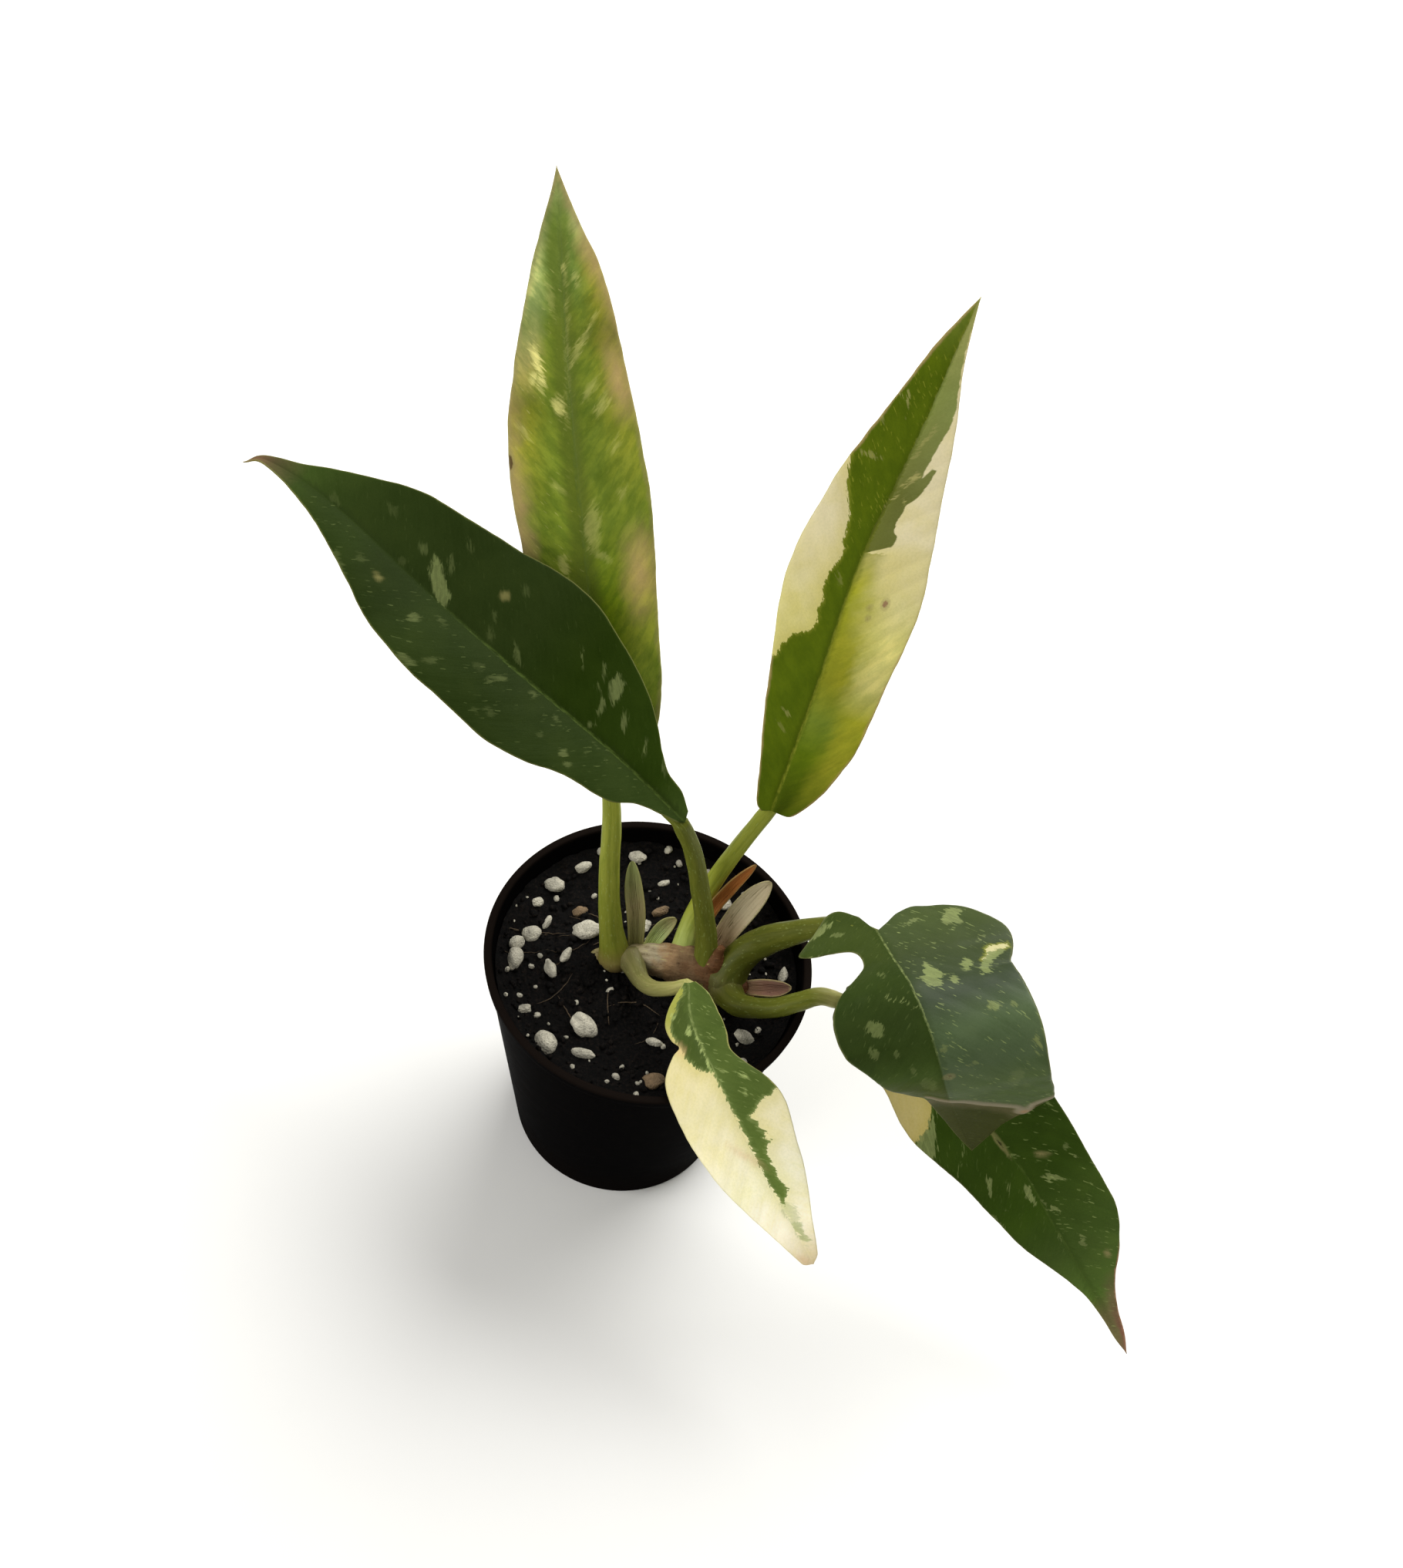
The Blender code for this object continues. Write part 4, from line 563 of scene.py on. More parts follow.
def lattice_noise(points, size, seed=0):
    """Value noise, -1 to 1: a hashed number at each corner of a lattice with cells of the given
    size, blended across the cell with weights 3 f^2 - 2 f^3 along each axis."""
    scaled = np.asarray(points, float) / size + 1000.0
    cell = np.floor(scaled).astype(np.int64)
    f = scaled - cell
    f = f * f * (3 - 2 * f)
    total = np.zeros(f.shape[:-1])
    for corner in np.ndindex(2, 2, 2):
        key = cell + np.array(corner)
        hashed = key[..., 0] * 73856093 ^ key[..., 1] * 19349663 ^ key[..., 2] * 83492791 ^ seed * 9176
        hashed = (hashed ^ (hashed >> 13)) * 1274126177 & 0x7FFFFFFF
        height = ((hashed ^ (hashed >> 15)) & 0xFFFF) / 32767.5 - 1
        total += height * np.prod(np.where(corner, f, 1 - f), axis=-1)
    return total


def grid_faces(rows, columns, wrap=True):
    """Quads of a grid of points numbered row by row; its rows are closed loops where wrap is true."""
    index = np.arange(rows * columns).reshape(rows, columns)
    if wrap:
        index = np.concatenate([index, index[:, :1]], axis=1)
    quads = np.stack([index[:-1, :-1], index[:-1, 1:], index[1:, 1:], index[1:, :-1]], axis=-1)
    return quads.reshape(-1, 4)


def add_piece(name, points, faces, material, node=None, attributes=None):
    """Makes one object of the points and faces, with one number or vector a point in each attribute,
    merges doubled points and turns the faces outwards. It stands for the CAD node; without a node
    it belongs to the stage."""
    mesh = bpy.data.meshes.new(name)
    points = np.asarray(points, float).reshape(-1, 3)
    mesh.from_pydata(points.tolist(), [], [list(face) for face in faces])
    for label, numbers in (attributes or {}).items():
        numbers = np.asarray(numbers, np.float32)
        kind, field = ("FLOAT", "value") if numbers.size == len(points) else ("FLOAT_VECTOR", "vector")
        layer = mesh.attributes.new(label, kind, "POINT")
        layer.data.foreach_set(field, numbers.ravel())
    work = bmesh.new()
    work.from_mesh(mesh)
    bmesh.ops.remove_doubles(work, verts=work.verts, dist=2e-7)
    bmesh.ops.dissolve_degenerate(work, edges=work.edges, dist=1e-8)
    bmesh.ops.recalc_face_normals(work, faces=work.faces)
    work.to_mesh(mesh)
    work.free()
    mesh.shade_smooth()
    mesh.materials.append(material)
    made = bpy.data.objects.new(name, mesh)
    bpy.context.scene.collection.objects.link(made)
    if node is None:
        made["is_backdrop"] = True
    else:
        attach(made, "root")
        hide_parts(node)
    return made


def looped(top, under=None):
    """Numbers of a sheet's grid as closed rows: along its top, then back along its underside."""
    under = top if under is None else under
    return np.concatenate([top, under[:, -2:0:-1]], axis=1)


def sheet(middle, normal, half):
    """Points and faces of a closed sheet: middle + normal * half above and middle - normal * half
    below, each row of both one loop, and a strip of faces across the first and the last row."""
    rows, columns = half.shape
    lift = normal * half[..., None]
    loop = 2 * columns - 2
    faces = grid_faces(rows, loop).tolist()
    above = np.arange(columns)
    below = (loop - above) % loop
    for start in (0, (rows - 1) * loop):
        ring = np.stack([above[:-1], above[1:], below[1:], below[:-1]], axis=1) + start
        faces += [list(dict.fromkeys(face)) for face in ring.tolist()]
    return looped(middle + lift, middle - lift), faces


def segment_distance(s, t, corners, closed):
    """Distance of each place (s, t) from a run of straight lines between the corners."""
    best = np.full(s.shape, 1e9)
    corners = np.array(corners, float)
    ends = np.roll(corners, -1, axis=0) if closed else corners[1:]
    for (a, b), (c, d) in zip(corners, ends):
        run = (c - a) ** 2 + (d - b) ** 2
        f = np.clip(((s - a) * (c - a) + (t - b) * (d - b)) / run, 0.0, 1.0)
        best = np.minimum(best, np.hypot(s - a - f * (c - a), t - b - f * (d - b)))
    return best


def area_depth(s, t, areas):
    """Depth inside the areas: distance from the outline, positive inside by the crossing rule."""
    depth = np.full(s.shape, OUTSIDE)
    for corners in areas:
        inside = np.zeros(s.shape, bool)
        for (a, b), (c, d) in zip(corners, corners[1:] + corners[:1]):
            if b != d:
                inside ^= ((b > t) != (d > t)) & (s < (c - a) * (t - b) / (d - b) + a)
        distance = segment_distance(s, t, corners, True)
        depth = np.maximum(depth, np.where(inside, distance, -distance))
    return depth


def spot_depth(s, t, spots):
    """Depth inside the spots: min(a, b) (1 - sqrt((x / a)^2 + (y / b)^2)) on each spot's own axes x
    and y, with half length a and half width b; the largest over all spots, and that spot's strength."""
    depth, strength = np.full(s.shape, OUTSIDE), np.ones(s.shape)
    for spot in spots:
        middle_s, middle_t, a, b, turn, bold = (*spot, 1.0)[:6]
        c, d = math.cos(math.radians(turn)), math.sin(math.radians(turn))
        x, y = (s - middle_s) * c + (t - middle_t) * d, (t - middle_t) * c - (s - middle_s) * d
        here = min(a, b) * (1 - np.hypot(x / a, y / b))
        strength = np.where(here > depth, bold, strength)
        depth = np.maximum(depth, here)
    return depth, strength


def markings(form, s, t):
    """Depths of a blade's markings, from places moved by noise that is stretched along the side
    veins, so that the outlines are ragged: cream, patch and crease, then blotch, how bold it is,
    and scar."""
    name = form.leaf["name"]
    key = stack(form.vein_place(s, t) / MM, np.abs(t) / (2.6 * MM), 20.0 * (t > 0))
    rag_s, rag_t = (RAG * (lattice_noise(key, 1.0, seed) + 0.5 * lattice_noise(key, 0.45, seed + 1))
                    for seed in (71, 73))
    s, t = s / MM, t / MM
    ragged = s + rag_s, t + rag_t
    little = s + 0.5 * rag_s, t + 0.5 * rag_t
    cream = area_depth(*little, CREAM_AREAS.get(name, ()))
    patch = np.maximum(area_depth(*little, PATCH_AREAS.get(name, ())),
                       spot_depth(*ragged, PATCHES.get(name, ()))[0])
    crease = spot_depth(s, t, CREASE_ENDS.get(name, ()))[0]
    for corners in CREASES.get(name, ()):
        crease = np.maximum(crease, -segment_distance(s, t, corners, False))
    blotch, bold = spot_depth(*ragged, BLOTCHES.get(name, ()))
    whole = area_depth(*ragged, BLOTCH_AREAS.get(name, ()))
    bold = np.where(whole > blotch, 1.0, bold)
    scar, faint = spot_depth(*little, SCARS.get(name, ()))
    return (stack(cream, patch, crease),
            stack(np.maximum(blotch, whole), bold, scar * np.where(scar > 0, faint, 1.0)))


class LeafForm:
    """Carries a flat leaf outline onto its midrib.

    A point lies s along the midrib M and t across it. With T along the midrib, S across it and
    N = S x T, it goes to M(s) + S t cos(a) + N (|t| sin(a) + wave), where the fold angle a eases
    to half at the edge, and the wave grows with the square of |t|.
    """

    def __init__(self, leaf):
        self.leaf = leaf
        self.rib = smooth_rows(leaf["midrib"], RIB_SAMPLES) * MM
        self.length = np.linalg.norm(np.diff(self.rib, axis=0), axis=1).sum()
        self.stations = np.linspace(0.0, self.length, RIB_SAMPLES)
        self.along = unit(np.gradient(self.rib, self.stations, axis=0))
        ease = np.linspace(0.0, 1.0, RIB_SAMPLES)[:, None]
        across = np.array(leaf["across"][0]) * (1 - ease) + np.array(leaf["across"][1]) * ease
        across -= (across * self.along).sum(1, keepdims=True) * self.along
        self.across = unit(across)
        self.up = np.cross(self.across, self.along)
        self.half = max(max(row[2], -row[4]) for row in leaf["outline"]) * MM
        rows = smooth_rows(leaf["outline"], RIB_SAMPLES)
        self.outline = rows * self.length / rows[-1, 0]

    def read(self, table, s):
        return read_rows(s, self.stations, table)

    def place(self, s, t):
        leaf = self.leaf
        inside = np.clip(s, 0.0, self.length)
        middle = self.read(self.rib, inside) + self.read(self.along, inside) * (s - inside)[..., None]
        plus = t > 0
        reach = np.clip(np.abs(t) / self.half, 0.0, 1.0)
        angle = np.radians(np.where(plus, *leaf["fold"])) * (1 - 0.5 * reach)
        phase = TAU * leaf["waves"] * s / self.length + np.where(plus, *leaf["phases"])
        rise = np.abs(t) * np.sin(angle) + leaf["wave"] * MM * reach ** 2 * np.sin(phase)
        sideways = self.read(self.across, inside) * (t * np.cos(angle))[..., None]
        return middle + sideways + self.read(self.up, inside) * rise[..., None]

    def normal(self, s, t):
        """dP/dt x dP/ds, from the places a small step to each side."""
        step = NORMAL_STEP
        by_t = self.place(s, t + step) - self.place(s, t - step)
        by_s = self.place(s + step, t) - self.place(s - step, t)
        return unit(np.cross(by_t, by_s))

    def flat(self, u, v):
        """Flat place of a grid point: u runs base to tip, v from the - edge to the + edge.
        Also the distance across from that point to its edge."""
        steps = np.linspace(0.0, 1.0, RIB_SAMPLES)
        row = (np.interp(u, steps, column) for column in self.outline.T)
        station, plus_s, plus_t, minus_s, minus_t = row
        station = np.clip(station, 0.0, self.length)
        edge_s = np.where(v > 0, plus_s, minus_s)
        edge_t = np.where(v > 0, np.maximum(plus_t, LEAST_REACH), np.minimum(minus_t, -LEAST_REACH))
        s = station + (edge_s - station) * np.abs(v)
        return s, edge_t * np.abs(v), np.abs(edge_t) * (1 - np.abs(v))

    def vein_place(self, s, t):
        """Where the side vein through a point leaves the midrib: s - half (0.75 r + 0.35 r^2), with
        r = |t| / half, so veins run out and tipwards in a slight curve."""
        r = np.abs(t) / self.half
        return s - self.half * (0.75 * r + 0.35 * r * r)


def relief(form, s, t):
    """Height over the smooth blade: swells between side veins, SWELL cos(2 pi p / spacing), which
    the veins cut with narrow grooves, and a slow unevenness; all fade out along the midrib."""
    p = form.vein_place(s, t)
    side = np.where(t > 0, 1.0, -1.0)
    p = p + 0.18 * VEIN_SPACING * lattice_noise(stack(p, side * MM * 40, 0 * p), 7 * MM, 3)
    turn = p / VEIN_SPACING + 0.25 * side
    away = smooth_step(0.4 * MM, 4.0 * MM, np.abs(t)) * VEIN_SHARE.get(form.leaf["name"], 1.0)
    near = np.abs(turn - np.round(turn)) * VEIN_SPACING
    veins = -VEIN_DEPTH * np.exp(-(near / VEIN_WIDTH) ** 2)
    swells = -SWELL * np.cos(TAU * turn)
    flat = stack(s, t, np.full_like(s, 5 * MM))
    uneven = 0.20 * MM * lattice_noise(flat, 9 * MM, 11) + 0.05 * MM * lattice_noise(flat, 2.6 * MM, 12)
    return away * (veins + swells + uneven)


def blade(leaf):
    """Points, faces and attributes of one blade on a grid of (u, v).

    v = w (1.25 - 0.25 w^2) packs columns near the edges. The edge ripples by noise that grows as
    v^6, and the half thickness is (1 - |v|^20)^0.5 of the full one, so that the rim is round.
    """
    form = LeafForm(leaf)
    rows = int(1.08 * form.length / CELL)
    w = np.linspace(-1.0, 1.0, BLADE_COLUMNS)
    u, v = np.meshgrid(np.linspace(0.0, 1.0, rows), w * (1.25 - 0.25 * w * w), indexing="ij")
    s, t, to_edge = form.flat(u, v)
    line = stack(s, np.where(v > 0, 9 * MM, 30 * MM), 0 * s)
    wide = smooth_step(0.5 * MM, 4 * MM, np.abs(t) + to_edge)
    ripple = sum(lattice_noise(line, 3.6 * MM / 2 ** k, 21 + k) / 2 ** k for k in range(3))
    t = t + np.sign(v) * v ** 6 * wide * EDGE_RIPPLE * ripple
    lift = wide * np.abs(v) ** 4 * EDGE_LIFT * lattice_noise(line, 5 * MM, 22)
    normal = form.normal(s, t)
    marks, spots = markings(form, s, t)
    ridge = CREASE_RIDGE * np.exp(-(np.minimum(marks[..., 2], 0) / 0.8) ** 2)
    groove = GROOVE_DEPTH * np.exp(-(t / GROOVE_WIDTH) ** 2) * smooth_step(0, 3 * MM, s)
    height = relief(form, s, t) * wide + lift + ridge - groove * (1 - u) ** 0.5 * wide
    middle = form.place(s, t) + normal * height[..., None]
    ends = smooth_step(-0.004, 0.006, u) * (0.45 + 0.55 * smooth_step(0.0, 0.03, 1 - u))
    half = BLADE_HALF * (1 - 0.25 * np.abs(v)) * np.sqrt(np.clip(1 - np.abs(v) ** 20, 0.0, 1.0)) * ends
    points, faces = sheet(middle, normal, half)
    flat = stack(s / MM, t / MM, s / form.length)
    veins = stack(form.vein_place(s, t), np.abs(t), to_edge) / MM
    return points, faces, {"flat": looped(flat), "vein": looped(veins), "marks": looped(marks),
                           "spots": looped(spots), "top": looped(np.ones_like(s), np.zeros_like(s))}


def tube(route, radii, reference, sides, shape=None):
    """Closed tube: centre + radius * shape * (first cos a + second sin a), where the first way across
    is as near the reference as it goes. Both ends are rounded by a half circle of rings and closed
    by a pole. Its attribute has the place along it in mm, the angle as a share of a turn, and the
    share of the whole length."""
    along = unit(np.gradient(route, axis=0))
    first = unit(reference - (along @ reference)[:, None] * along)
    second = np.cross(along, first)
    cap = np.linspace(0.0, math.pi / 2, CAP_RINGS + 1)
    start = route[0] - along[0] * (radii[0] * np.cos(cap))[:, None]
    stop = route[-1] + along[-1] * (radii[-1] * np.cos(cap[::-1]))[:, None]
    centre = np.vstack([start[:-1], route, stop[1:]])
    radius = np.concatenate([radii[0] * np.sin(cap)[:-1], radii, radii[-1] * np.sin(cap[::-1])[1:]])
    pad = ((CAP_RINGS, CAP_RINGS), (0, 0))
    first, second = np.pad(first, pad, "edge"), np.pad(second, pad, "edge")
    angle = np.arange(sides) * TAU / sides
    steps = np.append(0.0, np.cumsum(np.linalg.norm(np.diff(centre, axis=0), axis=1)))
    grid_steps, grid_angle = np.meshgrid(steps, angle, indexing="ij")
    size = radius[:, None] * (shape(grid_steps, grid_angle) if shape else 1.0)
    points = (centre[:, None] + size[..., None] * (first[:, None] * np.cos(grid_angle)[..., None]
                                                   + second[:, None] * np.sin(grid_angle)[..., None]))
    run = stack(grid_steps / MM, grid_angle / TAU, grid_steps / steps[-1])
    return points, grid_faces(len(centre), sides), {"run": run}


def stalk(leaf):
    """A leaf's stalk, which runs on as the rib under its blade. The rib's centre is sunk by its
    radius, so that it stands proud below and not above. The upper face has a shallow channel, and
    the stalk swells a little where it meets the blade."""
    form = LeafForm(leaf)
    s = np.linspace(0.0, 0.95 * form.length, UNDER_STEPS)
    rib_radii = np.interp(s / form.length, (0, 0.86, 0.95), (leaf["rib_radius"], 0.5, 0.2)) * MM
    sunk = (rib_radii + 0.12 * MM + 0.25 * GROOVE_DEPTH)[:, None]
    under = form.place(s, 0 * s) - form.normal(s, 0 * s) * sunk
    foot = smooth_rows(np.vstack([np.array(leaf["stalk"]) * MM, under[:1]]), FOOT_STEPS)
    widths = (*leaf["stalk_radii"], leaf["rib_radius"] + 0.2)
    up = np.linspace(0.0, 1.0, FOOT_STEPS)
    from_foot = up * np.linalg.norm(np.diff(foot, axis=0), axis=1).sum()
    foot_radii = (np.interp(up, np.linspace(0.0, 1.0, len(widths)), widths) * MM
                  * (1 + 0.05 * np.exp(-((up - 0.93) / 0.04) ** 2))
                  * (1 + FOOT_FLARE * np.exp(-from_foot / FOOT_FLARE_REACH)))
    share = FOOT_STEPS / (FOOT_STEPS + UNDER_STEPS - 1)

    def section(steps, angle):
        along = steps / steps.max()
        channel = 0.13 * smooth_step(0.02, 0.2, along) * (1 - smooth_step(share * 0.55, share, along))
        groove = np.exp(-((np.angle(np.exp(1j * (angle + math.pi / 2)))) / 0.5) ** 2)
        ridges = 0.012 * np.cos(9 * angle + 30 * along)
        key = stack(np.cos(angle), np.sin(angle), steps / (3 * MM))
        return 1 - channel * groove + ridges + 0.03 * lattice_noise(key, 0.9, 5)

    return tube(np.vstack([foot, under[1:]]), np.append(foot_radii, rib_radii[1:]),
                np.array(leaf["across"][0]), STALK_SIDES, section)


def sheath(shape_of):
    """A gutter that narrows to its tip: across is half * shape(u) * v and the middle line sinks by
    depth * shape(u) * (1 - v^2), where shape(u) = (0.65 + 0.7 u) (1 - u^3)^0.7. Fine ridges run
    along it, and its edges curl and ripple a little."""
    spine = smooth_rows(shape_of["spine"], SPINE_STEPS) * MM
    along = unit(np.gradient(spine, axis=0))
    facing = np.array(shape_of["facing"])
    facing = unit(facing - (along @ facing)[:, None] * along)
    across = np.cross(along, facing)
    ends = np.linspace(0.0, 1.0, SPINE_STEPS)

    def place(u, v):
        shape = (0.65 + 0.7 * u) * np.maximum(1 - u ** 3, 0.0) ** 0.7
        middle, out, side = (read_rows(u, ends, table) for table in (spine, facing, across))
        curl = stack(u * 3, v * 2, np.full_like(u, spine[0, 0] * 900))
        ripple = 0.10 * lattice_noise(curl, 0.6, 8) * v * v + 0.04 * lattice_noise(curl, 0.25, 9)
        sink = shape_of["depth"] * shape * (1 - v * v + ripple)
        ridge = 0.03 * np.cos(11 * math.pi * v) * shape
        return (middle + side * (shape_of["half"] * MM * shape * v)[..., None]
                + out * ((ridge - sink) * MM)[..., None])

    tip = 0.992
    u, v = np.meshgrid(np.linspace(0.0, tip, SHEATH_ROWS), np.linspace(-1, 1, SHEATH_COLUMNS), indexing="ij")
    step = 0.004
    by_u = place(np.minimum(u + step, tip + step), v) - place(u - step, v)
    by_v = place(u, v + step) - place(u, v - step)
    rim = np.sqrt(np.clip(1 - np.abs(v) ** 12, 0.0, 1.0)) * np.sqrt(1 - (u / tip) ** 24)
    half = BLADE_HALF * (0.6 + 0.4 * (1 - u)) * rim
    points, faces = sheet(place(u, v), unit(np.cross(by_u, by_v)), half)
    return points, faces, {"run": looped(stack(u, v, 0 * u))}


def wall_radius(height):
    """Outer radius of the pot at a height."""
    return (FOOT_DIAMETER + (RIM_DIAMETER - FOOT_DIAMETER) * height / POT_HEIGHT) / 2


def soil_level(x, y):
    """Height of the soil: a dish, level - dish (1 - (r / rim)^6), with two slow waves, then clods:
    noise of four sizes, the third sharpened as 1 - 2 |noise|."""
    rim = wall_radius(POT_HEIGHT - SOIL_BELOW_RIM)
    dish = SOIL_DISH * (1 - np.minimum(1.0, np.hypot(x, y) / rim) ** SOIL_DISH_POWER)
    waves = np.sin(310 * x + 1.0) * np.cos(270 * y + 0.4) + 0.6 * np.sin(520 * x - 430 * y)
    place = stack(x, y, 0 * x)
    clods = (0.30 * lattice_noise(place, 3.4 * MM, 31) + 0.28 * lattice_noise(place, 1.5 * MM, 32)
             + 0.22 * (1 - 2 * np.abs(lattice_noise(place, 0.8 * MM, 33)))
             + 0.12 * lattice_noise(place, 0.4 * MM, 34))
    return POT_HEIGHT - SOIL_BELOW_RIM - dish + SOIL_BUMP * waves + clods * MM


def turned(profile, sides):
    """Surface of revolution: every point (r, z) of the profile at (r cos a, r sin a, z)."""
    profile = np.array(profile, float)
    angle = np.arange(sides) * TAU / sides
    r, z = profile[:, :1], profile[:, 1:]
    points = stack(r * np.cos(angle), r * np.sin(angle), z + 0 * angle)
    return points, grid_faces(len(profile), sides)


def rounded(corners, radius, steps=5):
    """A profile whose inner corners are rounded: near each corner C it follows the quadratic
    (1 - f)^2 A + 2 f (1 - f) C + f^2 B between points A and B at most one radius from C."""
    corners = np.array(corners, float)
    f = np.linspace(0, 1, steps)[:, None]
    parts = [corners[:1]]
    for a, c, b in zip(corners, corners[1:], corners[2:]):
        start, stop = (c + (end - c) * min(0.45, radius / np.linalg.norm(end - c)) for end in (a, b))
        parts.append((1 - f) ** 2 * start + 2 * f * (1 - f) * c + f ** 2 * stop)
    return np.vstack(parts + [corners[-1:]])


def dense(profile, step):
    """The same profile with points no further apart than about twice the step."""
    parts = []
    for a, b in zip(profile, profile[1:]):
        count = max(1, int(np.linalg.norm(b - a) / step))
        parts.append(a + (b - a) * np.linspace(0, 1, count, endpoint=False)[:, None])
    return np.vstack(parts + [profile[-1:]])


def lumps(places, sizes, turns, rows, columns, rough, seed):
    """Many lumps at once: unit sphere points times (1 + rough * noise), scaled by each lump's three
    half sizes, turned about z and tilted, then moved to its place."""
    phi = np.arange(columns) * TAU / columns
    theta, phi = np.meshgrid(np.linspace(0, math.pi, rows), phi, indexing="ij")
    ball = stack(np.sin(theta) * np.cos(phi), np.sin(theta) * np.sin(phi), np.cos(theta))[None]
    count = len(places)
    key = ball + np.arange(count)[:, None, None, None] * 7.3
    size = 1 + rough * (lattice_noise(key, 0.9, seed) + 0.5 * lattice_noise(key, 0.42, seed + 1))
    points = ball * size[..., None] * sizes[:, None, None, :]
    c, s = np.cos(turns)[:, None, None], np.sin(turns)[:, None, None]
    x, y = points[..., 0] * c - points[..., 1] * s, points[..., 0] * s + points[..., 1] * c
    z = points[..., 2] + 0.35 * np.sin(turns * 5)[:, None, None] * x
    points = stack(x, y, z) + places[:, None, None, :]
    faces = grid_faces(rows, columns) + (np.arange(count) * rows * columns)[:, None, None]
    return points, faces.reshape(-1, 4)


def lay(label, material, where, turns, sizes, lift, grid, rough, seed):
    """Lays a lump at each (x, y) of the soil: its half sizes are half * (1, wide, high), and its
    middle is half * lift above the soil. The grid is the rows and columns of one lump."""
    x, y, half = where
    wide, high = sizes
    places = stack(x, y, soil_level(x, y) + half * lift)
    shapes = stack(half, half * wide, half * high)
    points, faces = lumps(places, shapes, turns, *grid, rough, seed)
    add_piece(label, points, faces, material, "soil")


def scatter(count, seed, reach=None):
    """Even random places on the soil: radius reach sqrt(a) and turn 2 pi b, for seeded a and b."""
    draw = np.random.default_rng(seed)
    reach = reach or wall_radius(POT_HEIGHT - SOIL_BELOW_RIM) - POT_WALL - 1.2 * MM
    radius, turn = reach * np.sqrt(draw.random(count)), TAU * draw.random(count)
    return draw, radius * np.cos(turn), radius * np.sin(turn)


class Socket:
    """A socket of a material's nodes. Arithmetic on it adds Math nodes."""

    def __init__(self, bench, socket):
        self.bench = bench
        self.socket = socket

    def math(self, operation, *values):
        return self.bench.node("ShaderNodeMath", {"operation": operation}, dict(enumerate(values)))

    def __add__(self, other):
        return self.math("ADD", self, other)

    __radd__ = __add__

    def __mul__(self, other):
        return self.math("MULTIPLY", self, other)

    __rmul__ = __mul__

    def __sub__(self, other):
        return self.math("SUBTRACT", self, other)

    def __rsub__(self, other):
        return self.math("SUBTRACT", other, self)

    def __truediv__(self, other):
        return self.math("DIVIDE", self, other)

    def __abs__(self):
        return self.math("ABSOLUTE", self)

    def cosine(self):
        return self.math("COSINE", self)

    def sine(self):
        return self.math("SINE", self)


